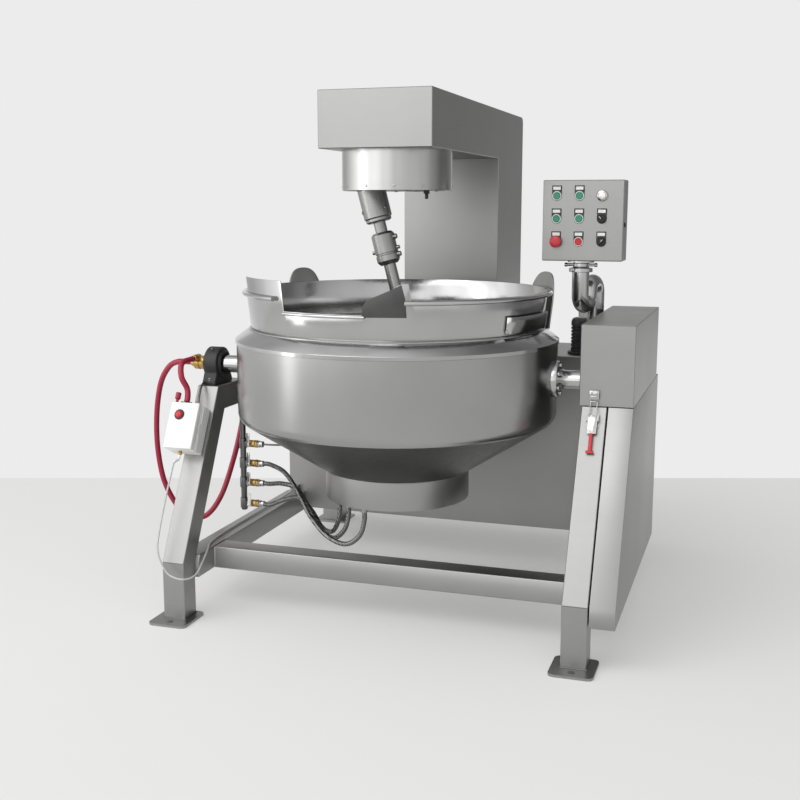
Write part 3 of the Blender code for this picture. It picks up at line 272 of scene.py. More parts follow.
def newMaterial(name, colour, metallic=0.0, roughness=0.5, **sockets):
    made = bpy.data.materials.new(name)
    made.use_nodes = True
    shader = made.node_tree.nodes["Principled BSDF"]
    shader.inputs["Base Color"].default_value = fromHex(colour)
    shader.inputs["Metallic"].default_value = metallic
    shader.inputs["Roughness"].default_value = roughness
    for key, value in sockets.items():
        shader.inputs[key.replace("_", " ")].default_value = value
    made.diffuse_color = fromHex(colour)
    return made, made.node_tree, shader


def addNode(tree, kind, settings=None, links=None):
    # settings go to the node's own fields or to its inputs; links name (input, node, output)
    node = tree.nodes.new(kind)
    for key, value in (settings or {}).items():
        if isinstance(key, str) and hasattr(node, key):
            setattr(node, key, value)
        else:
            node.inputs[key].default_value = value
    for key, source, output in links or ():
        tree.links.new(source.outputs[output], node.inputs[key])
    return node


def setStops(node, stops):
    ramp = node.color_ramp
    while len(ramp.elements) < len(stops):
        ramp.elements.new(0.5)
    for element, (place, colour) in zip(ramp.elements, stops):
        element.position = place
        element.color = fromHex(colour) if isinstance(colour, str) else (colour, colour, colour, 1)


def addTone(tree, shader, source, output, stops):
    # the pattern's value picks the colour between two close tones
    tone = addNode(tree, "ShaderNodeValToRGB", None, [("Fac", source, output)])
    setStops(tone, stops)
    tree.links.new(tone.outputs["Color"], shader.inputs["Base Color"])


def addBump(tree, shader, source, output, strength, distance):
    bump = addNode(tree, "ShaderNodeBump", {"Strength": strength, "Distance": distance},
                   [("Height", source, output)])
    tree.links.new(bump.outputs["Normal"], shader.inputs["Normal"])


def makeSteel(name, facts):
    # stainless sheet: a grey metal, with long fine scratches from its brushing and faint cloudy patches
    made, tree, shader = newMaterial(name, facts["colour"], 1.0, facts["roughness"])
    place = addNode(tree, "ShaderNodeTexCoord")
    stretch = addNode(tree, "ShaderNodeMapping", {"Scale": facts["streaks"]}, [("Vector", place, "Object")])
    scratch = addNode(tree, "ShaderNodeTexNoise", {"Scale": 1.0, "Detail": 5.0, "Roughness": 0.65},
                      [("Vector", stretch, "Vector")])
    cloud = addNode(tree, "ShaderNodeTexNoise", {"Scale": facts["clouds"], "Detail": 3.0},
                    [("Vector", place, "Object")])
    spread = facts["spread"]
    rough = addNode(tree, "ShaderNodeMapRange", {"From Min": 0.3, "From Max": 0.7,
                                                 "To Min": facts["roughness"] - spread,
                                                 "To Max": facts["roughness"] + spread},
                    [("Value", scratch, "Fac")])
    tree.links.new(rough.outputs["Result"], shader.inputs["Roughness"])
    addTone(tree, shader, cloud, "Fac", ((0.3, facts["dark"]), (0.7, facts["colour"])))
    addBump(tree, shader, scratch, "Fac", facts["bump"], 0.0004)
    return made


def makePlastic(name, facts):
    # moulded plastic: even colour, a soft sheen and a fine grain from the tool
    made, tree, shader = newMaterial(name, facts["colour"], 0.0, facts["roughness"])
    place = addNode(tree, "ShaderNodeTexCoord")
    grain = addNode(tree, "ShaderNodeTexNoise", {"Scale": facts["grain"], "Detail": 3.0},
                    [("Vector", place, "Object")])
    addBump(tree, shader, grain, "Fac", facts["bump"], 0.0003)
    addTone(tree, shader, grain, "Fac", ((0.35, facts["dark"]), (0.65, facts["colour"])))
    return made


steelFacts = {
    # streaks are noise cells per metre along X, Y and Z
    "satin": dict(colour="#9f9f9e", dark="#989897", roughness=0.40, spread=0.03, streaks=(9, 9, 420),
                  clouds=2.5, bump=0.03),
    "satinSide": dict(colour="#a6a6a5", dark="#9e9e9d", roughness=0.40, spread=0.03, streaks=(420, 9, 9),
                      clouds=2.5, bump=0.03),
    "jacket": dict(colour="#a9a9a8", dark="#a1a1a0", roughness=0.25, spread=0.008, streaks=(60, 60, 2),
                   clouds=3.0, bump=0.0),
    "polished": dict(colour="#b8b8b8", dark="#aeaeae", roughness=0.15, spread=0.03, streaks=(90, 90, 6),
                     clouds=5.0, bump=0.03),
    "bright": dict(colour="#bebebe", dark="#b4b4b4", roughness=0.10, spread=0.03, streaks=(200, 200, 200),
                   clouds=8.0, bump=0.02),
    "machined": dict(colour="#9a9a99", dark="#8e8e8d", roughness=0.30, spread=0.05, streaks=(300, 300, 300),
                     clouds=12.0, bump=0.05),
    # the cone steel's dark grey is painted shade: the shadowed underside of the jacket is drawn into its
    # colour
    "cone": dict(colour="#4c4c4c", dark="#444444", roughness=0.34, spread=0.04, streaks=(60, 60, 60),
                 clouds=4.0, bump=0.02),
    "inside": dict(colour="#b4b4b3", dark="#a8a8a7", roughness=0.24, spread=0.04, streaks=(40, 40, 40),
                   clouds=6.0, bump=0.02),
    "drum": dict(colour="#b6b6b5", dark="#ababaa", roughness=0.22, spread=0.01, streaks=(40, 40, 3),
                 clouds=4.0, bump=0.0),
    # the cheek steel's dark grey is painted shade on the spout's cheek plate
    "cheek": dict(colour="#626262", dark="#585858", roughness=0.38, spread=0.03, streaks=(200, 200, 20),
                  clouds=9.0, bump=0.02),
    "plain": dict(colour="#747474", dark="#6a6a6a", roughness=0.36, spread=0.04, streaks=(200, 200, 200),
                  clouds=9.0, bump=0.04),
}
steels = {key: makeSteel(f"{key}Steel", facts) for key, facts in steelFacts.items()}
plasticFacts = {
    "whiteShell": dict(colour="#e9e9e7", dark="#e4e4e2", roughness=0.42, grain=900, bump=0.12),
    "red": dict(colour="#c01f2c", dark="#b81b28", roughness=0.28, grain=700, bump=0.05),
    "mushroom": dict(colour="#c4353c", dark="#bc3038", roughness=0.34, grain=700, bump=0.05),
    "green": dict(colour="#2f8a6c", dark="#2a8265", roughness=0.28, grain=700, bump=0.05),
    "black": dict(colour="#1c1c1d", dark="#18181a", roughness=0.38, grain=900, bump=0.12),
    "label": dict(colour="#e4e4e2", dark="#dededc", roughness=0.5, grain=600, bump=0.04),
    "scraper": dict(colour="#ecebe6", dark="#e6e5df", roughness=0.5, grain=500, bump=0.10),
    "lamp": dict(colour="#f2f1ea", dark="#eeede6", roughness=0.20, grain=400, bump=0.03),
    "redRubber": dict(colour="#a01a3c", dark="#8f1634", roughness=0.42, grain=260, bump=0.15),
    "greyRubber": dict(colour="#6f6f70", dark="#656566", roughness=0.55, grain=300, bump=0.15),
    "cableGrey": dict(colour="#c3c3c3", dark="#b8b8b8", roughness=0.5, grain=300, bump=0.1),
    "castBlack": dict(colour="#232324", dark="#1b1b1c", roughness=0.48, grain=420, bump=0.45),
    "motorPaint": dict(colour="#3a3b3d", dark="#333436", roughness=0.45, grain=500, bump=0.2),
}
plastics = {key: makePlastic(f"{key}Finish", facts) for key, facts in plasticFacts.items()}


def makeBrass():
    # turned brass, a little dull from handling
    made, tree, shader = newMaterial("turnedBrass", "#c8a763", 1.0, 0.28)
    place = addNode(tree, "ShaderNodeTexCoord")
    cloud = addNode(tree, "ShaderNodeTexNoise", {"Scale": 60.0, "Detail": 4.0}, [("Vector", place, "Object")])
    addTone(tree, shader, cloud, "Fac", ((0.3, "#a98749"), (0.7, "#cfb070")))
    rough = addNode(tree, "ShaderNodeMapRange", {"To Min": 0.22, "To Max": 0.42}, [("Value", cloud, "Fac")])
    tree.links.new(rough.outputs["Result"], shader.inputs["Roughness"])
    return made


brass = makeBrass()


def makeBraid():
    # stainless wire braid over rubber: crossing strands, drawn coarse enough to show
    made, tree, shader = newMaterial("wireBraid", "#8d8d8c", 1.0, 0.38)
    place = addNode(tree, "ShaderNodeTexCoord")
    strands = []
    for turn in (0.8, -0.8):
        lay = addNode(tree, "ShaderNodeMapping", {"Rotation": (turn, turn, turn)},
                      [("Vector", place, "Object")])
        strands.append(addNode(tree, "ShaderNodeTexWave", {"Scale": 90.0, "Distortion": 0.4},
                               [("Vector", lay, "Vector")]))
    weave = addNode(tree, "ShaderNodeMath", {"operation": "MULTIPLY"},
                    [(0, strands[0], "Fac"), (1, strands[1], "Fac")])
    addTone(tree, shader, weave, 0, ((0.05, "#4c4c4c"), (0.6, "#a3a3a2")))
    addBump(tree, shader, weave, 0, 0.5, 0.0006)
    return made


braid = makeBraid()
print("materials made")

# Camera at the photograph's viewing angle
cameraFacts = dict(place=(1.1599, -3.5136, 1.3596), pitch=9.747, yaw=18.131, focalPixels=1125.02,
                   imageSide=800, sensor=36.0)


def makeCamera(facts):
    startFresh()
    bpy.ops.object.camera_add(location=fromBowl(*facts["place"]),
                              rotation=(math.radians(90 - facts["pitch"]), 0, math.radians(facts["yaw"])))
    camera = keepName("photoCamera")
    camera.data.sensor_width = facts["sensor"]
    camera.data.lens = facts["focalPixels"] * facts["sensor"] / facts["imageSide"]
    camera.data.clip_end = 60
    bpy.context.scene.camera = camera


makeCamera(cameraFacts)

# Floor, wall and lamps
studioFacts = dict(floorColour="#eaeae8", wallColour="#ececec", floorEnd=5.573, wallDistance=14.0,
                   wallWidth=10.4, wallHeight=4.2, floorSide=16.0, floorGlow=0.34, left=1.35, right=0.55,
                   front=1.62, back=0.40, middle=1.0, top=0.72, flags=0.85)


def layPlane(name, width, depth, middle, lean):
    startFresh()
    bpy.ops.mesh.primitive_plane_add(size=1)
    stand = keepName(name)
    stand.scale = (width, depth, 1)
    stand.rotation_euler = (lean, 0, math.radians(cameraFacts["yaw"]))
    stand.location = middle
    setDown(stand)
    return stand


def makeStage(facts):
    # the floor ends where the photograph's does; past it a strip and a far wall share one pale colour
    turn = math.radians(cameraFacts["yaw"])
    away = Vector((-math.sin(turn), math.cos(turn), 0))
    foot = fromBowl(*cameraFacts["place"])
    foot.z = -0.0005
    near = foot + away * (facts["floorEnd"] - facts["floorSide"] / 2)
    floor = layPlane("studioFloor", facts["floorSide"], facts["floorSide"], near, 0)
    past = facts["wallDistance"] - facts["floorEnd"]
    middle = foot + away * (facts["floorEnd"] + past / 2)
    strip = layPlane("studioStrip", facts["wallWidth"] * 1.5, past, middle, 0)
    middle = foot + away * facts["wallDistance"] + Vector((0, 0, facts["wallHeight"] / 2))
    wall = layPlane("studioWall", facts["wallWidth"], facts["wallHeight"], middle, math.pi / 2)
    makePaper(floor, facts["floorColour"], facts["floorGlow"])
    makePaper(strip, facts["wallColour"], 1.0)
    makePaper(wall, facts["wallColour"], 1.0)


def makePaper(stand, colour, glowPart):
    # studio paper that shows partly as its own even pale colour, to the eye and in the metal
    skin, tree, shader = newMaterial(f"{stand.name}Paper", colour, 0.0, 0.9, Specular_IOR_Level=0.0)
    path = addNode(tree, "ShaderNodeLightPath")
    seen = addNode(tree, "ShaderNodeMath", {"operation": "MAXIMUM"},
                   [(0, path, "Is Camera Ray"), (1, path, "Is Glossy Ray")])
    seen = addNode(tree, "ShaderNodeMath", {"operation": "MAXIMUM"},
                   [(0, seen, 0), (1, path, "Is Transmission Ray")])
    share = addNode(tree, "ShaderNodeMath", {"operation": "MULTIPLY", 1: glowPart}, [(0, seen, 0)])
    glow = addNode(tree, "ShaderNodeEmission", {"Color": fromHex(colour), "Strength": 1.0})
    mix = addNode(tree, "ShaderNodeMixShader", None, [(0, share, 0), (1, shader, 0), (2, glow, 0)])
    tree.links.new(mix.outputs[0], tree.nodes["Material Output"].inputs["Surface"])
    stand.data.materials.append(skin)


makeStage(studioFacts)

lampFacts = (
    dict(name="keyPanel", place=(-1.3, -3.2, 4.3), aim=(0, 0.1, 0.6), size=(4.4, 3.0), power=64),
    dict(name="sideStrip", place=(-3.6, -2.3, 1.3), aim=(0, 0, 0.8), size=(0.8, 2.8), power=12),
)


def makeLamp(facts):
    startFresh()
    spot = fromBowl(*facts["place"])
    turn = (fromBowl(*facts["aim"]) - spot).to_track_quat("-Z", "Y").to_euler()
    bpy.ops.object.light_add(type="AREA", location=spot, rotation=turn)
    lamp = keepName(facts["name"])
    lamp.data.shape = "RECTANGLE"
    lamp.data.size, lamp.data.size_y = facts["size"]
    lamp.data.energy = facts["power"]


for lampFact in lampFacts:
    makeLamp(lampFact)


def makeAir(facts):
    # soft studio air: brightest in front and on the left, dimmer above, behind and on the right
    world = bpy.data.worlds.new("studioAir")
    bpy.context.scene.world = world
    world.use_nodes = True
    tree = world.node_tree
    place = addNode(tree, "ShaderNodeTexCoord")
    parts = addNode(tree, "ShaderNodeSeparateXYZ", None, [(0, place, "Generated")])
    ranges = (("X", -0.8, 0.8, facts["left"], facts["right"]),
              ("Y", -0.6, 0.6, facts["front"], facts["back"]),
              ("Z", 0.15, 0.95, facts["middle"], facts["top"]))
    air = None
    for axis, low, high, first, last in ranges:
        shade = addNode(tree, "ShaderNodeMapRange", {"interpolation_type": "SMOOTHSTEP", "From Min": low,
                                                     "From Max": high, "To Min": first, "To Max": last},
                        [("Value", parts, axis)])
        air = shade if air is None else addNode(tree, "ShaderNodeMath", {"operation": "MULTIPLY"},
                                                [(0, air, 0), (1, shade, 0)])
    # a few tall flags that streak the polished metal
    flat = addNode(tree, "ShaderNodeVectorMath", {"operation": "MULTIPLY", 1: (1, 1, 0.05)},
                   [(0, place, "Generated")])
    flags = addNode(tree, "ShaderNodeTexNoise", {"Scale": 3.2, "Detail": 2.0}, [("Vector", flat, 0)])
    shade = addNode(tree, "ShaderNodeMapRange", {"From Min": 0.38, "From Max": 0.52, "To Min": facts["flags"],
                                                 "To Max": 1.05}, [("Value", flags, "Fac")])
    air = addNode(tree, "ShaderNodeMath", {"operation": "MULTIPLY"}, [(0, air, 0), (1, shade, 0)])
    tree.links.new(air.outputs[0], tree.nodes["Background"].inputs["Strength"])
    tree.nodes["Background"].inputs["Color"].default_value = fromHex("#ffffff")


makeAir(studioFacts)
bpy.context.scene.view_settings.view_transform = "Standard"
print("camera and studio ready")

# Finishes of the CAD nodes that stay as they are
nodeFinishes = (
    (steels["satin"], ("left_leg", "right_leg", "arm_housing", "rear_cabinet", "upper_cover", "pendant_box")),
    (steels["machined"], ("hinge_pin", "agitator_shaft")),
    (plastics["scraper"], ("scraper_blade",)),
    (plastics["motorPaint"], ("tilt_gearbox", "mixer_motor")),
)
for skin, names in nodeFinishes:
    for name in names:
        for slot in frame["nodes"][name].material_slots:
            slot.material = skin
print("node finishes set")

# Kettle: jacket, bowl, collar and rim. Pieces are modelled from the floor under the bowl's axis
# and finishPiece sets them down where the CAD says
kettleFacts = dict(bowlRadius=0.455, bowlMiddle=0.955, rim=0.975, flange=0.484, sheet=0.004,
                   jacketRadius=0.5265, jacketTop=0.9388, band=0.530, bandHeight=0.013, knuckle=0.040,
                   kneeHeight=0.700, sumpRadius=0.2403, sumpTop=0.497, sumpLow=0.404,
                   sockets=((-0.170, -0.100), (-0.120, -0.150), (-0.050, -0.190)))


def makeKettle(f):
    wide, knee, sheet = f["jacketRadius"], f["kneeHeight"], f["sheet"]
    top, under = f["jacketTop"], f["jacketTop"] - f["bandHeight"]
    outer = arcPoints(wide - f["knuckle"], knee, f["knuckle"], -57, 0, 10)
    inner = arcPoints(wide - f["knuckle"], knee, f["knuckle"] - sheet, -57, 0, 10)
    wall = outer[1:] + [(wide, under - 0.0005), (wide - sheet, under - 0.0005)] + inner[:0:-1]
    wallPiece = turnRound("jacketWall", wall, closed=True, steps=192)
    finishPiece(wallPiece, steels["jacket"], "bowl", "brushed_stainless", "outer_jacket")
    sump, foot = f["sumpRadius"], f["sumpTop"]
    cone = [(0, foot - 0.027), (sump - 0.0046, foot - 0.017), (sump - 0.0046, foot), (sump, foot), outer[1],
            inner[1], (sump - sheet, foot + 0.0024), (sump - 0.0086, foot + sheet),
            (sump - 0.0086, foot - 0.013), (0, foot - 0.023)]
    # the cone gets the dark steel, so its shade is painted into its colour
    conePiece = turnRound("jacketCone", cone, closed=True, steps=144)
    finishPiece(conePiece, steels["cone"], "bowl", "brushed_stainless")
    lip = f["bowlRadius"] + sheet + 0.0015
    shoulder = [(wide, under), (f["band"] - 0.0008, under), (f["band"], under + 0.0008),
                (f["band"], top - 0.0015), (f["band"] - 0.001, top), (f["flange"] + 0.002, f["rim"] - 0.0043),
                (lip, f["rim"] - 0.0043), (lip, f["rim"] - 0.0083), (f["flange"], f["rim"] - 0.0083),
                (wide - sheet, top - sheet), (wide - sheet, under)]
    shoulderPiece = turnRound("jacketShoulder", shoulder, closed=True, steps=192)
    finishPiece(shoulderPiece, steels["polished"], "bowl", "polished_stainless")
    inside = arcPoints(0, f["bowlMiddle"], f["bowlRadius"], -90, 0, 28)
    outside = arcPoints(0, f["bowlMiddle"], f["bowlRadius"] + sheet, -90, 0, 28)
    rim = [(f["bowlRadius"], f["rim"]), (f["flange"] - 0.001, f["rim"]), (f["flange"], f["rim"] - 0.001),
           (f["flange"], f["rim"] - sheet), (f["bowlRadius"] + sheet, f["rim"] - sheet)]
    bowl = turnRound("kettleBowl", inside + rim + outside[::-1], closed=True, steps=160)
    finishPiece(bowl, steels["inside"], "bowl", "polished_stainless", "inner_bowl")
    low = f["sumpLow"]
    chamber = [(0, low), (sump - 0.003, low), (sump - 0.0009, low + 0.0009), (sump, low + 0.003),
               (sump, foot - 0.0006), (sump - sheet, foot - 0.0006), (sump - sheet, low + sheet),
               (0, low + sheet)]
    parts = [turnRound("burnerChamber", chamber, closed=True, steps=144)]
    bead = arcPoints(sump, foot - 0.0002, 0.0022, 0, 315, 7)
    parts.append(turnRound("coneSeam", bead, closed=True, steps=144))
    for x, y in f["sockets"]:
        parts.append(addUpright("socket", x, y, low - 0.020, low + 0.001, 0.012, 0.0012, 24))
        parts.append(addUpright("socketNut", x, y, low - 0.009, low + 0.0005, 0.016, 0.0015, 6))
    finishPiece(joinUp("burnerChamber", parts), steels["satinSide"], "bowl", "brushed_stainless",
                "burner_chamber")


makeKettle(kettleFacts)

collarFacts = dict(foot=0.478, flare=0.109, low=0.9753, top=1.095, notch=1.052, cheek=1.143, sheet=0.003,
                   cheekFrom=214.0, notchFrom=244.0, notchTo=277.0, wedgeTo=289.5, wedgeEnd=292.5,
                   bar=0.0075, lip=0.005, stay=(330.5, 361.2), stayProud=0.012,
                   stayHeights=(0.985, 1.010, 1.035),
                   lugs=(("rearLug", "rear_lug", 149.0, 8.5), ("rightLug", "right_lug", 33.0, 12.0)))


def collarRadius(f, height):
    return f["foot"] + f["flare"] * (height - 0.975)


def ringPoint(radius, degrees, height):
    turn = math.radians(degrees)
    return Vector((radius * math.cos(turn), radius * math.sin(turn), height))


def ringArc(radius, start, end, level, steps):
    return [ringPoint(radius, start + (end - start) * k / steps, level) for k in range(steps + 1)]


def collarEdge(f, degrees):
    # the collar drops at the pouring notch and stands up in a cheek on each side
    if f["cheekFrom"] <= degrees < f["notchFrom"] or f["wedgeTo"] <= degrees < f["wedgeEnd"]:
        return f["cheek"]
    if f["notchFrom"] <= degrees < f["notchTo"]:
        return f["notch"]
    if f["notchTo"] <= degrees < f["wedgeTo"]:
        part = (degrees - f["notchTo"]) / (f["wedgeTo"] - f["notchTo"])
        return f["notch"] + (f["cheek"] - f["notch"]) * part ** 0.7
    return f["top"]


def makeCollar(f):
    startFresh()
    sides = 360    # one for each degree, so that each jump of the edge falls between two corners
    height = f["top"] - f["low"]
    bpy.ops.mesh.primitive_cylinder_add(vertices=sides, radius=f["foot"], depth=height,
                                        end_fill_type="NOTHING", location=(0, 0, f["low"] + height / 2))
    sheet = setDown(keepName("splashCollar"))
    jumps = (f["cheekFrom"], f["notchFrom"], f["wedgeEnd"])
    for corner in sheet.data.vertices:
        degrees = round(math.degrees(math.atan2(corner.co.y, corner.co.x)) % 360, 3)
        for jump in jumps:
            if abs(degrees - jump) < 0.3:
                degrees = jump + 0.02
            elif abs(degrees + 1 - jump) < 0.3:
                degrees = jump - 0.08
        level = f["low"] if corner.co.z < f["low"] + height / 2 else collarEdge(f, degrees)
        corner.co = ringPoint(collarRadius(f, level), degrees, level)
    applyModifier(sheet, "SOLIDIFY", thickness=f["sheet"], offset=-1, use_even_offset=True)
    roundEdges(sheet, 0.0006, 2, 60)
    finishPiece(sheet, steels["polished"], "bowl", "polished_stainless", "splash_collar")

    level = f["top"] - f["bar"]
    radius = collarRadius(f, level) + f["bar"] + 0.0006
    ring = ringArc(radius, f["wedgeEnd"] - 2, 360 + f["notchFrom"] - 4, level, 180)
    bar = addTube("rimBar", ring, f["bar"], 5)
    finishPiece(bar, steels["bright"], "bowl", "polished_stainless", "rim_bar")
    level = f["notch"] - f["lip"] - 0.001
    radius = collarRadius(f, level) + f["lip"] + 0.0006
    ring = ringArc(radius, f["notchFrom"] + 0.5, f["notchTo"], level, 30)
    finishPiece(addTube("notchLip", ring, f["lip"], 4), steels["bright"], "bowl",
                "polished_stainless", "notch_lip")

    # the spout's cheek plate stands across the notch's right end; its dark grey colour is painted shade
    outline = ((276.2, f["notch"] - 0.006), (276.7, 1.078), (278.4, 1.098), (284.8, 1.121), (289.6, 1.141),
               (290.9, 1.100), (291.4, f["notch"] - 0.006))
    corners = [ringPoint(collarRadius(f, height) + 0.0060, turn, height) for turn, height in outline]
    plate = pullOut("spoutCheek", corners, ringPoint(0.0025, 283, 0), 0.0006)
    finishPiece(plate, steels["cheek"], "bowl", "brushed_stainless")

    makeStay(f)
    for name, node, middle, half in f["lugs"]:
        makeLug(f, name, node, middle, half)


def bendSheet(name, columns, thick):
    # a sheet through columns of points, thickened outwards from the kettle
    startFresh()
    rows = [drawLine(name, column) for column in columns]
    bpy.ops.object.mode_set(mode="OBJECT")
    made = joinUp(name, rows)
    bpy.ops.object.mode_set(mode="EDIT")
    bpy.ops.mesh.select_all(action="SELECT")
    bpy.ops.mesh.bridge_edge_loops()
    closeUp(made)
    applyModifier(made, "SOLIDIFY", thickness=thick, offset=0)
    for corner in made.data.vertices:
        out = Vector((corner.co.x, corner.co.y, 0)).normalized()
        corner.co += out * thick / 2
    return roundEdges(made, 0.0010, 2, 50)


def makeStay(f):
    # a strap folded round the collar's right side, its ends turned in to the sheet
    start, end = f["stay"]
    turns = [start, start + 0.7] + [start + 1.5 + 2 * k for k in range(15)] + [end - 0.6, end]
    columns = []
    for turn in turns:
        proud = f["stayProud"] if start < turn < end else 0.001
        columns.append([ringPoint(collarRadius(f, z) + proud, turn, z) for z in f["stayHeights"]])
    finishPiece(bendSheet("collarStay", columns, 0.003), steels["polished"], "bowl", "polished_stainless")


def makeLug(f, name, node, middle, half):
    # a rounded bracket that stands on the jacket's shoulder and leans out past the rim
    edge = collarRadius(f, f["top"] - f["bar"]) + 2 * f["bar"] + 0.0006
    foot, thick, lean = edge - 0.004, 0.005, 0.12
    shoulderRun = kettleFacts["band"] - kettleFacts["flange"] - 0.002
    shoulderRise = kettleFacts["rim"] - 0.0043 - kettleFacts["jacketTop"]
    columns = []
    steps = 24
    for k in range(steps + 1):
        t = -1 + 2 * k / steps
        top = f["top"] + (f["cheek"] - f["top"]) * math.sqrt(max(0.0, 1 - t * t)) - 0.05 * t ** 4
        low = kettleFacts["jacketTop"] + 0.0004 + shoulderRise * (kettleFacts["band"] - foot) / shoulderRun
        columns.append([ringPoint(foot + lean * (z - low), middle + half * t, z)
                        for z in (low, low + (top - low) * 0.35, low + (top - low) * 0.7, top)])
    made = bendSheet(name, columns, thick)
    finishPiece(made, steels["satin"], "bowl", "polished_stainless", node)


makeCollar(collarFacts)
print("kettle made")

# Mixer drum, leaning sleeve, coupling and shaft
mixerFacts = dict(lean=math.radians(14.7), drum=0.178, drumLow=1.410, drumTop=1.5597, spigot=0.058,
                  spigotBore=0.031, carrier=0.170, hub=0.0295, hubTop=1.556, drain=(0.118, -0.062),
                  sleeve=0.046, sleeveLow=0.243, sleeveLength=0.160, coupling=0.038, couplingLow=0.103,
                  couplingTop=0.208, shaft=0.020)


def leaning(height, across=0.0, forward=0.0):
    # a point on or beside the leaning mixer axis, measured from where it meets the bowl's axis
    lean = mixerFacts["lean"]
    return Vector((-math.sin(lean) * height + math.cos(lean) * across, forward,
                   apex.z + math.cos(lean) * height + math.sin(lean) * across))


def makeMixer(f):
    top, low, wide = f["drumTop"], f["drumLow"], f["drum"]
    shell = [(wide - 0.001, low), (wide, low + 0.001), (wide, top - 0.001), (wide - 0.001, top),
             (f["spigot"], top), (f["spigot"], top + 0.0235), (f["spigotBore"], top + 0.0235),
             (f["spigotBore"], top - 0.006), (wide - 0.004, top - 0.006), (wide - 0.004, low)]
    parts = [turnRound("mixerDrum", shell, closed=True, steps=160)]
    for k in range(12):
        spot = ringPoint(wide - 0.001, 15 + 30 * k, low + 0.014)
        out = ringPoint(1, 15 + 30 * k, 0)
        parts.append(addRod("drumScrew", spot, spot + out * 0.0028, 0.0042, 0.0008, 12))
    drum = joinUp("mixerDrum", parts)
    finishPiece(drum, steels["drum"], "head", "polished_stainless", "mixer_drum")

    low += 0.002
    wide = f["carrier"]
    disc = [(0, low + 0.003), (0.052, low + 0.003), (0.056, low), (wide - 0.002, low), (wide, low + 0.002),
            (wide, low + 0.012), (0.06, low + 0.014), (f["hub"], low + 0.02), (f["hub"], f["hubTop"]),
            (0, f["hubTop"])]
    parts = [turnRound("carrierDisc", disc, steps=128)]
    for k in range(8):
        spot = ringPoint(0.128, 20 + 45 * k, low + 0.0005)
        parts.append(addRod("carrierBolt", spot, spot - Vector((0, 0, 0.0048)), 0.006, 0.001, 6))
    finishPiece(joinUp("carrierDisc", parts), steels["machined"], "carrier", "polished_stainless",
                "carrier_disc")
    # a dark drain plug under the carrier, with its own short pipe
    x, y = f["drain"]
    plug = [addUpright("drainPlug", x, y, low + 0.001, low - 0.012, 0.010, 0.0015, 6),
            addUpright("drainPipe", x, y, low - 0.010, low - 0.028, 0.0055, 0.001, 16)]
    finishPiece(joinUp("drainPlug", plug), plastics["castBlack"], "carrier", "motor_paint")

    wide, start = f["sleeve"], f["sleeveLow"]
    axis = leaning(1) - leaning(0)
    bore = f["shaft"] + 0.0005
    sleeve = [(bore, start), (wide - 0.010, start), (wide - 0.004, start + 0.004),
              (wide - 0.004, start + 0.012), (wide - 0.0015, start + 0.014), (wide, start + 0.016),
              (wide, start + f["sleeveLength"]), (bore, start + f["sleeveLength"])]
    made = turnRound("upperSleeve", sleeve, leaning(0), axis, 96, True)
    block = addBlock("sleeveTrim", (-0.3, -0.3, low - 0.0003), (0.3, 0.3, low + 0.3), 0)
    cutAway(made, block)
    smoothOver(made)
    parts = [made]
    for turn in (-60, 60):
        side = Vector((math.cos(f["lean"]) * math.sin(math.radians(turn)), -math.cos(math.radians(turn)),
                       math.sin(f["lean"]) * math.sin(math.radians(turn))))
        spot = leaning(start + 0.040) + side * (wide - 0.001)
        parts.append(addRod("sleeveScrew", spot, spot + side * 0.0035, 0.006, 0.001, 6))
    finishPiece(joinUp("upperSleeve", parts), steels["machined"], "carrier", "brushed_stainless",
                "upper_sleeve")

    wide, start, end = f["coupling"], f["couplingLow"], f["couplingTop"]
    ring = [(bore, start), (wide - 0.010, start), (wide - 0.004, start + 0.006), (wide, start + 0.012),
            (wide, start + 0.030), (wide - 0.0025, start + 0.032), (wide - 0.0025, start + 0.036),
            (wide, start + 0.038), (wide, end - 0.008), (wide - 0.007, end), (bore, end)]
    made = turnRound("couplingSleeve", ring, leaning(0), axis, 96, True, 25)
    hole = addRod("sideHole", leaning(0.158, -0.05), leaning(0.158, -0.02), 0.009, 0, 32)
    cutAway(made, hole)
    smoothOver(made, 25)
    parts = [made, addRod("couplingPin", leaning(0.150, -0.0478), leaning(0.150, 0.0478), 0.006, 0.001, 20)]
    for height in (0.128, 0.186):
        parts.append(addRod("couplingBolt", leaning(height, wide - 0.002), leaning(height, wide + 0.0095),
                            0.0085, 0.0015, 6))
        parts.append(addRod("boltWasher", leaning(height, wide - 0.003), leaning(height, wide + 0.0015),
                            0.0110, 0.0005, 24))
    finishPiece(joinUp("couplingSleeve", parts), steels["machined"], "agitator", "brushed_stainless",
                "coupling_sleeve")


makeMixer(mixerFacts)
print("mixer made")

# Stand, covers and cabinet keep the CAD's sheets; the frame's, side cover's and column base's sharp folds are
# eased as a press brake leaves them
foldFacts = {
    # node: (piece, bevel, body, finish, slot)
    "base_frame": ("baseFrame", 0.0045, "stand", "satinSide", "brushed_stainless"),
    "side_cover": ("sideCover", 0.0025, "stand", "satin", "brushed_stainless"),
    "column_base": ("columnBase", 0.0020, "stand", "satin", "brushed_stainless"),
}


def easeNode(node, name, width):
    made = bpy.data.objects.new(name, frame["nodes"][node].data.copy())
    bpy.context.scene.collection.objects.link(made)
    pickOne(made)
    keepName(name)
    bpy.ops.object.mode_set(mode="EDIT")
    bpy.ops.mesh.select_all(action="SELECT")
    bpy.ops.mesh.remove_doubles(threshold=0.00001)
    bpy.ops.mesh.dissolve_limited(angle_limit=math.radians(0.5))
    bpy.ops.object.mode_set(mode="OBJECT")
    made.location = -bowlAxis
    setDown(made)
    return roundEdges(made, width, 3, 50)


for node, (name, width, body, finish, slot) in foldFacts.items():
    finishPiece(easeNode(node, name, width), steels[finish], body, slot, node)

standFacts = dict(half=0.704, tube=0.078, front=-0.353, knee=0.199, slope=0.5127, footTop=0.008,
                  anchor=(0.665, -0.384), rail=0.690, beamFront=-0.161, beamTop=0.2066)


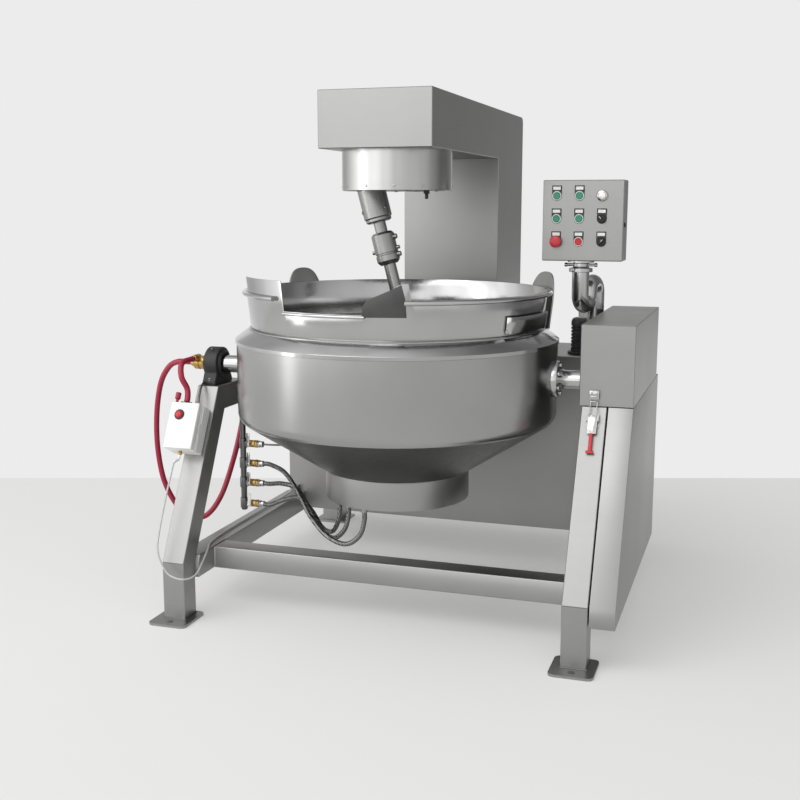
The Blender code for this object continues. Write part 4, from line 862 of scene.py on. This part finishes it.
def legFront(height):
    return standFacts["front"] + standFacts["slope"] * max(0.0, height - standFacts["knee"])


def makeWelds(f):
    # a narrow welded seam where each leg's tube was mitred, and one round each foot
    parts = []
    for side in (-1, 1):
        inner, outer = side * (f["half"] - f["tube"]), side * f["half"]
        low, high = min(inner, outer), max(inner, outer)
        y, z = f["front"], f["footTop"]
        ring = [(low, y, z), (high, y, z), (high, y + f["tube"], z), (low, y + f["tube"], z), (low, y, z)]
        path = [Vector(ring[0])]
        for a, b in zip(ring, ring[1:]):
            path += straight(a, b, 8)[1:]
        parts.append(addTube("footWeld", path, 0.0032, 3))
        path = straight((low + 0.003, y - 0.0002, f["knee"]), (high - 0.003, y - 0.0002, f["knee"]), 12)
        parts.append(addTube("kneeWeld", path, 0.0012, 3))
        x, y = side * f["anchor"][0], f["anchor"][1]
        parts.append(addUpright("anchorRing", x, y, z - 0.0005, z + 0.0012, 0.0105, 0.0004, 24))
    rail = f["rail"] - f["tube"]
    for side in (-1, 1):
        x, y, z = side * (rail - 0.0005), f["beamFront"], f["beamTop"]
        path = straight((x, y, z), (x, y + f["tube"], z), 12)
        parts.append(addTube("beamWeld", path, 0.0030, 3))
    finishPiece(joinUp("standWelds", parts), steels["plain"], "stand", "brushed_stainless")


makeWelds(standFacts)

bearingFacts = dict(middle=0.665, axis=0.820, foot=0.7503, half=0.0655, radius=0.058, width=0.025, boss=0.046,
                    bore=0.0305)


def makeBearing(f, side, name, node):
    # a cast pillow block: a rounded housing on a flat foot, with its bolts and grease nipple
    x, foot = side * f["middle"], f["foot"]
    outline = [(-f["half"], foot), (f["half"], foot), (f["half"], foot + 0.014),
               (f["radius"] + 0.003, foot + 0.022)]
    outline += arcPoints(0, f["axis"], f["radius"], -28, 208, 28)
    outline += [(-f["radius"] - 0.003, foot + 0.022), (-f["half"], foot + 0.014)]
    corners = [(x - f["width"], y, z) for y, z in outline]
    parts = [pullOut(name, corners, (2 * f["width"], 0, 0), 0.004, 3)]
    for end in (-1, 1):
        face = x + end * f["width"]
        ring = [(f["bore"], -0.004), (f["boss"], -0.004), (f["boss"], 0.0055), (f["boss"] - 0.003, 0.008),
                (f["boss"] - 0.009, 0.008), (f["boss"] - 0.010, 0.0045), (f["bore"] + 0.002, 0.0045),
                (f["bore"], 0.003)]
        parts.append(turnRound("bearingBoss", ring, (face, 0, f["axis"]), (end, 0, 0), 64, True))
    finishPiece(joinUp(name, parts), plastics["castBlack"], "stand", "cast_iron_black", node)
    bolts = []
    for y in (-f["half"] + 0.013, f["half"] - 0.013):
        bolts.append(addUpright("bearingBolt", x, y, foot + 0.012, foot + 0.0255, 0.0095, 0.0014, 6))
        bolts.append(addUpright("boltWasher", x, y, foot + 0.012, foot + 0.0175, 0.0120, 0.0006, 24))
    bolts.append(addRod("greaseNipple", (x, -0.030, f["axis"] + 0.046), (x, -0.036, f["axis"] + 0.0565),
                        0.0032, 0.0008, 16))
    finishPiece(joinUp(f"{name}Bolts", bolts), steels["machined"], "stand", "brushed_stainless")


makeBearing(bearingFacts, -1, "leftBearing", "left_bearing")
makeBearing(bearingFacts, 1, "rightBearing", "right_bearing")

trunnionFacts = dict(axis=0.820, start=0.522, shaft=0.030, flangeStart=0.500, face=0.5425, flange=0.058,
                     boltRing=0.0445, jacket=0.5271)


def makeTrunnion(f, side, end, name, node):
    # a polished shaft with a bolted flange that is curved to the jacket
    axis, face = f["axis"], side * f["face"]
    shaft = addRod(name, (side * f["start"], 0, axis), (side * end, 0, axis), f["shaft"], 0.002, 64)
    flange = addRod("trunnionFlange", (side * f["flangeStart"], 0, axis), (face, 0, axis), f["flange"],
                    0.003, 64)
    startFresh()
    bpy.ops.mesh.primitive_cylinder_add(vertices=192, radius=f["jacket"], depth=0.3, location=(0, 0, axis))
    cutAway(flange, setDown(keepName("jacketTrim")))
    parts = [shaft, smoothOver(flange)]
    for k in range(6):
        turn = math.radians(30 + 60 * k)
        y, z = f["boltRing"] * math.cos(turn), axis + f["boltRing"] * math.sin(turn)
        parts.append(addRod("flangeBolt", (face - side * 0.001, y, z), (face + side * 0.0065, y, z),
                            0.0075, 0.0012, 6))
    finishPiece(joinUp(name, parts), steels["polished"], "bowl", "polished_stainless", node)


makeTrunnion(trunnionFacts, -1, 0.705, "leftTrunnion", "left_trunnion")
makeTrunnion(trunnionFacts, 1, 0.768, "rightTrunnion", "right_trunnion")

# Rotary union: turned brass with a hexagon and a side port. Its outline runs out along the trunnion
unionFacts = dict(axis=0.820, port=-0.734, portHeight=0.838, nut=(-0.738, -0.7624),
                  outline=((0, 0.7055), (0.021, 0.7055), (0.024, 0.7075), (0.024, 0.722), (0.0215, 0.7235),
                           (0.0215, 0.727), (0.024, 0.7285), (0.024, 0.745), (0.022, 0.748), (0, 0.748)))


def makeUnion(f):
    axis, port, level = f["axis"], f["port"], f["portHeight"]
    parts = [turnRound("rotaryUnion", f["outline"], (0, 0, axis), (-1, 0, 0), 48),
             addRod("unionNut", (f["nut"][0], 0, axis), (f["nut"][1], 0, axis), 0.015, 0.0015, 6),
             addRod("unionPort", (port, 0, level), (port, -0.0445, level), 0.0125, 0.001, 32),
             addRod("portNut", (port, -0.022, level), (port, -0.036, level), 0.0128, 0.001, 6)]
    finishPiece(joinUp("rotaryUnion", parts), brass, "stand", "brass", "rotary_union")


makeUnion(unionFacts)

manifoldFacts = dict(x=-0.572, pipe=0.0105, pipeTop=0.7894, clamp=(0.730, 0.750), spindle=-0.542, end=-0.494,
                     heights=(0.540, 0.470, 0.400, 0.325), reach=0.020)


def makeManifold(f):
    x, z = f["x"], f["heights"]
    low, high = f["clamp"]
    parts = [addUpright("manifoldPipe", x, 0, z[-1] - 0.025, f["pipeTop"], f["pipe"], 0.0015, 40),
             addBlock("pipeClamp", (x - 0.014, -0.014, low), (x + 0.014, 0.014, high), 0.003, 3)]
    for height in z:
        parts.append(addUpright("pipeTee", x, 0, height - 0.019, height + 0.019, 0.0135, 0.002, 32))
        parts.append(addRod("teeBranch", (x, 0, height), (x + 0.022, 0, height), 0.0095, 0.001, 24))
    finishPiece(joinUp("manifoldPipe", parts), steels["plain"], "bowl", "brushed_stainless",
                "burner_manifold")
    bodies, steel = [], []
    for height in z:
        bodies.append(addRod("valveBody", (x + 0.020, 0, height), (x + 0.050, 0, height), 0.0125, 0.002, 32))
        bodies.append(addRod("valveHexagon", (x + 0.046, 0, height), (x + 0.058, 0, height),
                             0.0140, 0.0015, 6))
        steel.append(addRod("hoseFerrule", (x + 0.056, 0, height), (x + 0.078, 0, height),
                            0.0110, 0.0012, 32))
        steel.append(addRod("hoseNut", (x + 0.058, 0, height), (x + 0.066, 0, height), 0.0128, 0.0010, 6))
        steel.append(addRod("valveSpindle", (f["spindle"], 0, height), (f["spindle"], -f["reach"], height),
                            0.0062, 0.0008, 20))
    finishPiece(joinUp("valveBodies", bodies), brass, "bowl", "brass")
    # a thin pilot tube runs from the top valve to the cone
    tube = easeRoute([(f["end"] - 0.002, 0, z[0]), (-0.460, -0.002, z[0] + 0.001),
                      (-0.400, -0.010, z[0] + 0.006), (-0.332, -0.020, z[0] + 0.016)], 0.008)
    finishPiece(addTube("pilotTube", tube, 0.0032, 5), steels["plain"], "bowl", "brushed_stainless")
    finishPiece(joinUp("hoseFittings", steel), steels["bright"], "bowl", "polished_stainless")
    low = -f["reach"] - 0.0003
    for k, height in enumerate(z):
        lever = addBlock("lever", (f["spindle"] - 0.006, low - 0.004, height - 0.008),
                         (f["spindle"] + 0.006, low - 0.001, height + 0.042), 0.0014, 3)
        nut = addRod("leverNut", (f["spindle"], low - 0.0005, height), (f["spindle"], low - 0.007, height),
                     0.0075, 0.0010, 6)
        skin = plastics["whiteShell"] if k == 3 else steels["bright"]
        finishPiece(joinUp(f"valveLever{k + 1}", [lever, nut]), skin, f"lever_{k + 1}", "polished_stainless",
                    f"valve_lever_{k + 1}")


makeManifold(manifoldFacts)
print("stand, bearings and manifold made")


def finishOnLeg(name, parts, f, skin, body, slot, *replaced):
    # turns pieces made flat in XZ so that they stand on the leg's leaning face
    lean = Matrix.Rotation(-math.atan(standFacts["slope"]), 4, "X")
    for made in parts:
        made.data.transform(Matrix.Translation((f["x"], legFront(f["height"]), f["height"])) @ lean)
    made = joinUp(name, parts) if len(parts) > 1 else parts[0]
    finishPiece(made, skin, body, slot, *replaced)


ignitionFacts = dict(x=-0.690, height=0.600, half=0.0525, deep=0.085, tall=0.080, lid=0.026,
                     button=(-0.014, 0.036), radius=0.0125, topGlands=(-0.034, -0.019, -0.004),
                     gasGland=(0.022, -0.038), lowGland=(-0.005, -0.045), shutOff=(-0.047, -0.060),
                     boot=((-0.695, -0.2290, 0.5395), (-0.695, -0.2400, 0.5240), (-0.695, -0.2560, 0.5230),
                           (-0.695, -0.2705, 0.5200)),
                     conduit=((-0.668, -0.1400, 0.6980), (-0.671, -0.1260, 0.7230), (-0.677, -0.1000, 0.7480),
                              (-0.680, -0.0800, 0.7580), (-0.680, -0.0650, 0.7600)))


def makeIgnition(f):
    half, deep, tall, (bx, bz) = f["half"], f["deep"], f["tall"], f["button"]
    seam = -deep + f["lid"]
    shell = addBlock("ignitionBox", (-half, seam + 0.0012, -tall), (half, -0.0003, tall), 0.004, 4)
    lid = addBlock("ignitionLid", (-half, -deep, -tall), (half, seam - 0.0012, tall), 0.004, 4)
    neck = addBlock("lidNeck", (-half + 0.003, seam - 0.003, -tall + 0.003),
                    (half - 0.003, seam + 0.003, tall - 0.003), 0)
    cutAway(lid, addRod("buttonHole", (bx, -deep - 0.01, bz), (bx, -deep + 0.014, bz),
                        f["radius"] + 0.0006, 0, 48))
    smoothOver(lid)
    parts = [shell, lid, neck]
    boss = [(0.0028, 0.0012), (0.0056, 0.0012), (0.0060, 0.0008), (0.0060, -0.002), (0.0028, -0.002)]
    for x in (-half + 0.010, half - 0.010):
        for z in (-tall + 0.010, tall - 0.010):
            parts.append(turnRound("lidBoss", boss, (x, -deep, z), (0, -1, 0), 24, True))
    for z in (-0.046, 0.046):
        parts.append(addBlock("sideRib", (half - 0.002, -0.050, z - 0.030),
                              (half + 0.0015, -0.040, z + 0.030), 0.001, 2))
    finishOnLeg("ignitionBox", parts, f, plastics["whiteShell"], "stand", "white_plastic", "ignition_box")

    ring = [(f["radius"] + 0.0008, -0.001), (0.0180, -0.001), (0.0180, 0.0020), (0.0165, 0.0040),
            (f["radius"] + 0.0008, 0.0040)]
    parts = [turnRound("buttonBezel", ring, (bx, -deep, bz), (0, -1, 0), 48, True)]
    for x in f["topGlands"]:
        parts.append(addUpright("topGland", x, -0.045, tall - 0.001, tall + 0.0125, 0.0065, 0.001, 6))
    finishOnLeg("ignitionFittings", parts, f, plastics["black"], "stand", "black_plastic")
    (gasX, gasY), (lowX, lowY), (x, y) = f["gasGland"], f["lowGland"], f["shutOff"]
    parts = [addUpright("gasGland", gasX, gasY, tall - 0.001, tall + 0.013, 0.0072, 0.001, 6),
             addUpright("lowGland", lowX, lowY, -tall + 0.001, -tall - 0.0135, 0.0070, 0.001, 6)]
    finishOnLeg("ignitionGlands", parts, f, brass, "stand", "brass")
    # a bent boot joins the cable to its gland, and a braided conduit runs up behind the bearing
    boot = addTube("cableBoot", easeRoute(f["boot"], 0.003), 0.0042, 5)
    finishPiece(boot, plastics["whiteShell"], "stand", "white_plastic")
    conduit = addTube("gasConduit", easeRoute(f["conduit"], 0.0016), 0.0040, 5)
    finishPiece(conduit, braid, "stand", "braided_hose")
    parts = [addUpright("shutOff", x, y, tall + 0.001, tall + 0.022, 0.0050, 0.001, 16),
             addUpright("shutOffKnob", x, y, tall + 0.016, tall + 0.040, 0.0095, 0.003, 24)]
    finishOnLeg("shutOffKnob", parts, f, plastics["redRubber"], "stand", "red_plastic")
    dome = [(0, -0.006), (f["radius"], -0.006), (f["radius"], 0.0045)]
    dome += domePoints(f["radius"], 0.0045, 0.0062, 10, 10)
    button = turnRound("ignitionButton", dome, (bx, -deep, bz), (0, -1, 0), 48)
    finishOnLeg("ignitionButton", [button], f, plastics["red"], "ignition_push", "red_plastic",
                "ignition_button")


makeIgnition(ignitionFacts)

latchFacts = dict(x=0.665, height=0.715, half=0.0140, wire=0.0105, wireFront=-0.0165, wireTop=0.050,
                  hook=(-0.0800, 0.7740), screws=(0.657, 0.673), screwHeight=0.7945)


def makeLatch(f):
    half = f["half"]
    arm = [addBlock("latchArm", (-half, -0.0145, -0.052), (half, -0.0112, 0.008), 0.0012, 2),
           addRod("latchPivot", (-0.0150, -0.0115, 0.002), (0.0150, -0.0115, 0.002), 0.0036, 0.0006, 20)]
    for side in (-1, 1):
        arm.append(addBlock("armRib", (side * half - 0.0008, -0.0160, -0.050),
                            (side * half + 0.0008, -0.0110, 0.006), 0.0004, 1))
    finishOnLeg("latchArm", arm, f, steels["bright"], "latch", "polished_stainless", "latch_lever")
    pull = [addBlock("latchPull", (-0.0055, -0.0150, -0.110), (0.0055, -0.0085, -0.050), 0.0018, 3),
            addBlock("pullFoot", (-0.0120, -0.0145, -0.114), (0.0120, -0.0085, -0.105), 0.0022, 3)]
    finishOnLeg("latchPull", pull, f, plastics["red"], "latch", "red_plastic")
    wires, y, top = [], f["wireFront"], f["wireTop"]
    for side in (-1, 1):
        path = [Vector((side * f["wire"], y, z)) for z in (0.002, 0.020, 0.036, top)]
        wires.append(addTube("latchWire", path, 0.0017, 4))
    wires.append(addRod("wireLoop", (-0.0120, y, top), (0.0120, y, top), 0.0019, 0.0004, 16))
    finishOnLeg("latchWires", wires, f, steels["bright"], "stand", "polished_stainless")
    y, z = f["hook"]
    hook = [addBlock("latchHook", (0.650, y, z), (0.680, y + 0.0055, z + 0.0270), 0.0012, 2),
            addBlock("hookLip", (0.654, y - 0.0035, z + 0.0060), (0.676, y + 0.0015, z + 0.0110), 0.0010, 2)]
    for x in f["screws"]:
        hook.append(addRod("hookScrew", (x, y + 0.0005, f["screwHeight"]), (x, y - 0.0020, f["screwHeight"]),
                           0.0035, 0.0006, 16))
    finishPiece(joinUp("latchHook", hook), steels["bright"], "stand", "polished_stainless")


makeLatch(latchFacts)
print("ignition box and latch made")

pendantFacts = dict(swivel=(0.545, 0.350), swivelTop=1.140, post=(0.579, 0.490), postRadius=0.029,
                    postLow=0.2115, bend=1.062, footLow=(0.534, 0.430, 0.2073),
                    footHigh=(0.700, 0.550, 0.2153), footInset=0.016, face=0.300, side=0.690, step=0.076,
                    firstButton=(0.466, 1.396), radius=0.0125, mushroom=0.0195, hole=0.0129,
                    plate=0.0165, plateRise=0.034, lock=(0.322, 1.300))


def makePost(f):
    run = Vector(f["swivel"]) - Vector(f["post"])
    bend = run.length / 4
    run.normalize()

    def along(t, z):
        return Vector((f["post"][0] + run.x * t, f["post"][1] + run.y * t, z))

    points = [along(0, f["postLow"] + (f["bend"] - f["postLow"]) * k / 6) for k in range(6)]
    points += [along(t, z) for t, z in arcPoints(bend, f["bend"], bend, 180, 0, 20)]
    points += [along(t, z) for t, z in arcPoints(3 * bend, f["bend"], bend, 180, 360, 20)[1:]]
    points.append(along(4 * bend, f["swivelTop"]))
    parts = [addTube("pendantPost", points, f["postRadius"], 9),
             addBlock("postFoot", f["footLow"], f["footHigh"], 0.002, 2)]
    inset, foot = f["footInset"], f["footHigh"][2]
    for x in (f["footLow"][0] + inset, f["footHigh"][0] - inset):
        for y in (f["footLow"][1] + inset, f["footHigh"][1] - inset):
            parts.append(addUpright("footBolt", x, y, foot - 0.0003, foot + 0.0072, 0.0085, 0.0012, 6))
    finishPiece(joinUp("pendantPost", parts), steels["polished"], "stand", "polished_stainless",
                "pendant_post")
    x, y = f["swivel"]
    low = f["swivelTop"] + 0.0003
    # a lower flange, a waist with two wing bolts, and the plate that carries the box
    neck = [(0, low), (0.0385, low), (0.040, low + 0.0015), (0.040, low + 0.0125), (0.0385, low + 0.014),
            (0.028, low + 0.016), (0.026, low + 0.019), (0.026, low + 0.0285), (0.028, low + 0.0305),
            (0.045, low + 0.0325), (0.045, low + 0.0384), (0, low + 0.0384)]
    parts = [turnRound("pendantClamp", neck, (x, y, 0), (0, 0, 1), 72)]
    waist = low + 0.024
    for side in (-1, 1):
        parts.append(addRod("wingBolt", (x + side * 0.022, y, waist), (x + side * 0.050, y, waist),
                            0.0052, 0.001, 20))
        parts.append(addRod("wingHead", (x + side * 0.046, y, waist), (x + side * 0.056, y, waist),
                            0.0070, 0.0020, 20))
    finishPiece(joinUp("pendantClamp", parts), steels["polished"], "pendant", "polished_stainless",
                "pendant_clamp")


def buttonPlace(f, column, row):
    return f["firstButton"][0] + f["step"] * column, f["firstButton"][1] - f["step"] * row


def makeLegend(f, x, z):
    # a black plate round the button with a bare white label above it
    face, half = f["face"], f["plate"]
    outline = [(x - half, z + f["plateRise"]), (x - half, z)] + arcPoints(x, z, half, 190, 350, 16)
    outline += [(x + half, z), (x + half, z + f["plateRise"])]
    plate = pullOut("legendPlate", [(a, face, b) for a, b in outline], (0, -0.0022, 0), 0.0006, 2)
    cutAway(plate, addRod("plateHole", (x, face - 0.01, z), (x, face + 0.01, z), f["hole"] + 0.0005, 0, 40))
    label = addBlock("label", (x - 0.0125, face - 0.0030, z + 0.0195),
                     (x + 0.0125, face - 0.0015, z + 0.0300), 0.0004, 1)
    return smoothOver(plate), label


def makePanel(f):
    face, radius, hole = f["face"], f["radius"], f["hole"]
    buttonRing = [(hole, -0.001), (0.0160, -0.001), (0.0160, 0.0030), (0.0148, 0.0042), (hole, 0.0042)]
    lampRing = [(hole, -0.001), (0.0185, -0.001), (0.0185, 0.0050), (0.0165, 0.0075), (hole, 0.0085)]
    plates, labels, steel, dark = [], [], [], []
    for row in range(3):
        for column in range(3):
            x, z = buttonPlace(f, column, row)
            isLamp = (column, row) == (2, 0)
            if not isLamp:
                plate, label = makeLegend(f, x, z)
                plates.append(plate)
                labels.append(label)
            ring = lampRing if isLamp else buttonRing
            made = turnRound("buttonRing", ring, (x, face, z), (0, -1, 0), 40, True)
            (dark if column == 2 and row > 0 else steel).append(made)
    finishPiece(joinUp("legendPlates", plates), plastics["black"], "pendant", "black_plastic")
    finishPiece(joinUp("blankLabels", labels), plastics["label"], "pendant", "white_plastic")
    finishPiece(joinUp("buttonRings", steel), steels["bright"], "pendant", "polished_stainless")
    finishPiece(joinUp("selectorRings", dark), plastics["black"], "pendant", "black_plastic")

    cap = [(0, -0.006), (radius, -0.006), (radius, 0.0068), (radius - 0.0010, 0.0082),
           (radius - 0.0024, 0.0085), (radius - 0.0032, 0.0076), (0, 0.0074)]
    # piece, body, node, column, row, colour
    buttons = [(f"startButton{k + 1}", f"start_{k + 1}", f"start_button_{k + 1}", k % 2, k // 2, "green")
               for k in range(4)]
    buttons.append(("stopButton", "stop", "stop_button", 1, 2, "red"))
    for name, body, node, column, row, tint in buttons:
        x, z = buttonPlace(f, column, row)
        made = turnRound(name, cap, (x, face, z), (0, -1, 0), 48)
        finishPiece(made, plastics[tint], body, f"{tint}_plastic", node)
    x, z = buttonPlace(f, 0, 2)
    wide = f["mushroom"]
    head = [(0, -0.006), (radius, -0.006), (radius, 0.0105), (wide - 0.0012, 0.0112), (wide, 0.0126),
            (wide, 0.0178), (wide - 0.0012, 0.0205), (wide - 0.0045, 0.0228), (wide - 0.0095, 0.0238),
            (0, 0.0240)]
    made = turnRound("emergencyStop", head, (x, face, z), (0, -1, 0), 64)
    finishPiece(made, plastics["mushroom"], "emergency", "red_plastic", "emergency_stop")
    x, z = buttonPlace(f, 2, 0)
    lens = [(0, -0.006), (radius, -0.006), (radius, 0.008)] + domePoints(radius, 0.008, 0.0088, 12, 13)
    made = turnRound("pilotLamp", lens, (x, face, z), (0, -1, 0), 48)
    finishPiece(made, plastics["lamp"], "pendant", "white_plastic", "pilot_lamp")
    for k, turn in ((1, -40), (2, 40)):
        makeSelector(f, k, turn)
    (y, z), side = f["lock"], f["side"]
    lock = [addRod("boxLock", (side - 0.004, y, z), (side + 0.0022, y, z), 0.0085, 0.0010, 32),
            addBlock("lockBar", (side + 0.001, y - 0.0025, z - 0.0065),
                     (side + 0.0050, y + 0.0025, z + 0.0065), 0.0006, 1)]
    finishPiece(joinUp("boxLock", lock), plastics["black"], "pendant", "black_plastic")


def makeSelector(f, k, turn):
    # a low round knob with a raised grip, turned to one side, and a white mark on the grip
    x, z = buttonPlace(f, 2, k)
    wide = f["radius"]
    knob = [(0, -0.006), (wide - 0.0003, -0.006), (wide - 0.0003, 0.0058), (wide - 0.0015, 0.007), (0, 0.007)]
    parts = [turnRound(f"selector{k}", knob, (0, 0, 0), (0, -1, 0), 40),
             addBlock("selectorGrip", (-0.0034, -0.0200, -0.0116), (0.0034, -0.0050, 0.0116), 0.0012, 3),
             addBlock("selectorMark", (-0.0008, -0.0204, 0.0010), (0.0008, -0.0190, 0.0108), 0.0003, 1)]
    turned = Matrix.Rotation(math.radians(turn), 4, "Y")
    for made in parts:
        made.data.transform(Matrix.Translation((x, f["face"], z)) @ turned)
    mark = finishPiece(parts.pop(), plastics["label"], f"switch_{k}", "white_plastic")
    mark.name = f"selectorMark{k}"
    finishPiece(joinUp(f"selector{k}", parts), plastics["black"], f"switch_{k}", "black_plastic",
                f"selector_{k}")


makePost(pendantFacts)
makePanel(pendantFacts)
print("pendant made")

pumpFacts = dict(x=0.500, y=0.745, foot=0.8103, height=0.135, radius=0.048, cap=0.022, capHeight=0.062)


def makePump(f):
    foot, wide, top = f["foot"], f["radius"], f["foot"] + f["height"]
    outline = [(0, foot), (0.058, foot), (0.060, foot + 0.002), (0.060, foot + 0.007), (0.057, foot + 0.009),
               (wide, foot + 0.011)]
    for k in range(7):
        z = foot + 0.022 + 0.013 * k
        outline += [(wide, z), (wide - 0.004, z + 0.001), (wide - 0.004, z + 0.005), (wide, z + 0.006)]
    outline += [(wide, top - 0.013), (wide - 0.004, top - 0.004), (wide - 0.010, top), (0, top)]
    parts = [turnRound("pumpMotor", outline, (f["x"], f["y"], 0), (0, 0, 1), 72)]
    for k in range(4):
        spot = ringPoint(0.053, 45 + 90 * k, foot + 0.007) + Vector((f["x"], f["y"], 0))
        parts.append(addRod("pumpBolt", spot, spot + Vector((0, 0, 0.007)), 0.0050, 0.0008, 6))
    finishPiece(joinUp("pumpMotor", parts), plastics["motorPaint"], "stand", "motor_paint", "pump_motor")
    low, high = top + 0.0003, top + 0.0003 + f["capHeight"]
    cap = [(0, low), (f["cap"] - 0.001, low), (f["cap"], low + 0.001), (f["cap"], low + 0.034),
           (f["cap"] - 0.0015, low + 0.035), (f["cap"] - 0.0015, low + 0.037), (f["cap"], low + 0.038),
           (f["cap"], high - 0.005), (f["cap"] - 0.0015, high - 0.0015), (f["cap"] - 0.005, high), (0, high)]
    made = turnRound("fillerCap", cap, (f["x"], f["y"], 0), (0, 0, 1), 64)
    finishPiece(made, plastics["whiteShell"], "stand", "white_plastic", "filler_cap")


makePump(pumpFacts)
print("pump made")

cabinetFacts = dict(back=1.060, half=0.300, low=0.198, high=0.750, screwInset=0.018, lockInset=0.040,
                    lockRise=0.19, lockDrop=0.12, handle=-0.240, handleLow=0.520, handleHigh=0.640,
                    reach=0.027)


def makeCabinetFittings(f):
    # the rear panel's screws, its two turn locks and a pull handle
    parts, back, inset = [], f["back"], f["screwInset"]
    for x in (-f["half"] + inset, 0.0, f["half"] - inset):
        for z in (f["low"] + inset, f["high"] - inset):
            parts.append(addRod("panelScrew", (x, back - 0.0005, z), (x, back + 0.0030, z),
                                0.0060, 0.0012, 20))
    x = f["half"] - f["lockInset"]
    for z in (f["low"] + f["lockRise"], f["high"] - f["lockDrop"]):
        parts.append(addRod("turnLock", (x, back - 0.0005, z), (x, back + 0.0060, z), 0.0130, 0.0015, 32))
        parts.append(addBlock("lockBar", (x - 0.0025, back + 0.004, z - 0.0095),
                              (x + 0.0025, back + 0.0095, z + 0.0095), 0.0010, 2))
    near, out, low, high = back - 0.001, back + f["reach"], f["handleLow"], f["handleHigh"]
    route = ((near, low), (out - 0.006, low + 0.002), (out, low + 0.015), (out, (low + high) / 2),
             (out, high - 0.015), (out - 0.006, high - 0.002), (near, high))
    grip = easeRoute([(f["handle"], y, z) for y, z in route], 0.006)
    parts.append(addTube("panelHandle", grip, 0.0050, 5))
    finishPiece(joinUp("cabinetFittings", parts), steels["bright"], "stand", "polished_stainless")


makeCabinetFittings(cabinetFacts)
print("cabinet fittings made")

# Cords: the red hoses, the braided hoses and the thin cable, on the CAD's own routes
redHose = dict(radius=0.010, skin="redRubber", slot="red_rubber")
braidedHose = dict(radius=0.008, skin="braid", slot="braided_hose", body="bowl")
cordFacts = {
    "returnHose": dict(redHose, node="return_hose", route=(
        (-0.7630, 0.0, 0.820), (-0.790, 0.0, 0.820), (-0.820, 0.002, 0.818), (-0.860, 0.010, 0.798),
        (-0.905, 0.025, 0.735), (-0.935, 0.040, 0.620), (-0.945, 0.055, 0.480), (-0.930, 0.075, 0.345),
        (-0.880, 0.105, 0.240), (-0.810, 0.140, 0.215), (-0.755, 0.175, 0.290), (-0.722, 0.225, 0.430),
        (-0.700, 0.255, 0.560), (-0.680, 0.255, 0.660), (-0.668, 0.215, 0.704), (-0.665, 0.180, 0.708),
        (-0.665, 0.1572, 0.708))),
    "feedHose": dict(redHose, node="feed_hose", route=(
        (-0.734, -0.0450, 0.8380), (-0.734, -0.0650, 0.8380), (-0.740, -0.1150, 0.8300),
        (-0.730, -0.1380, 0.7880), (-0.715, -0.1290, 0.7480), (-0.709, -0.1366, 0.7195),
        (-0.709, -0.1448, 0.7035))),
    "burnerHose1": dict(braidedHose, node="burner_hose_1", route=(
        (-0.4935, 0, 0.470), (-0.470, 0, 0.470), (-0.400, -0.030, 0.452), (-0.330, -0.080, 0.400),
        (-0.265, -0.130, 0.335), (-0.190, -0.170, 0.285), (-0.115, -0.192, 0.270), (-0.065, -0.195, 0.305),
        (-0.050, -0.190, 0.355), (-0.050, -0.190, 0.3835))),
    "burnerHose2": dict(braidedHose, node="burner_hose_2", route=(
        (-0.4935, 0, 0.400), (-0.470, 0, 0.400), (-0.415, -0.020, 0.410), (-0.355, -0.035, 0.400),
        (-0.300, -0.060, 0.345), (-0.245, -0.100, 0.290), (-0.180, -0.140, 0.270), (-0.135, -0.152, 0.305),
        (-0.120, -0.150, 0.355), (-0.120, -0.150, 0.3835))),
    "burnerHose3": dict(braidedHose, node="burner_hose_3", route=(
        (-0.4935, 0, 0.325), (-0.470, 0, 0.325), (-0.420, 0.010, 0.345), (-0.365, 0.010, 0.355),
        (-0.310, -0.010, 0.320), (-0.255, -0.050, 0.275), (-0.205, -0.085, 0.275), (-0.177, -0.100, 0.315),
        (-0.170, -0.100, 0.355), (-0.170, -0.100, 0.3835))),
    "ignitionCable": dict(route=((-0.695, -0.270, 0.5215), (-0.696, -0.282, 0.498), (-0.700, -0.318, 0.420),
                                 (-0.703, -0.366, 0.310), (-0.700, -0.385, 0.240), (-0.668, -0.382, 0.172),
                                 (-0.616, -0.374, 0.155), (-0.594, -0.330, 0.160), (-0.594, -0.280, 0.190),
                                 (-0.602, -0.225, 0.2165), (-0.635, -0.140, 0.2125), (-0.650, 0.0, 0.2115),
                                 (-0.650, 0.300, 0.2115), (-0.650, 0.550, 0.2130), (-0.650, 0.590, 0.2196),
                                 (-0.650, 0.6247, 0.2200)),
                          radius=0.003, node="ignition_cable", skin="cableGrey", slot="white_plastic"),
}


def makeCord(name, facts):
    route = [fromBowl(*p) for p in facts["route"]]
    points = easeRoute(route, max(0.010, facts["radius"]))
    made = bendTube(name, points, facts["radius"], 4)
    made.data.materials.append(braid if facts["skin"] == "braid" else plastics[facts["skin"]])
    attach(made, facts.get("body", "stand"))
    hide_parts(facts["node"])


for cordName, cord in cordFacts.items():
    makeCord(cordName, cord)
print("hoses and cable laid")
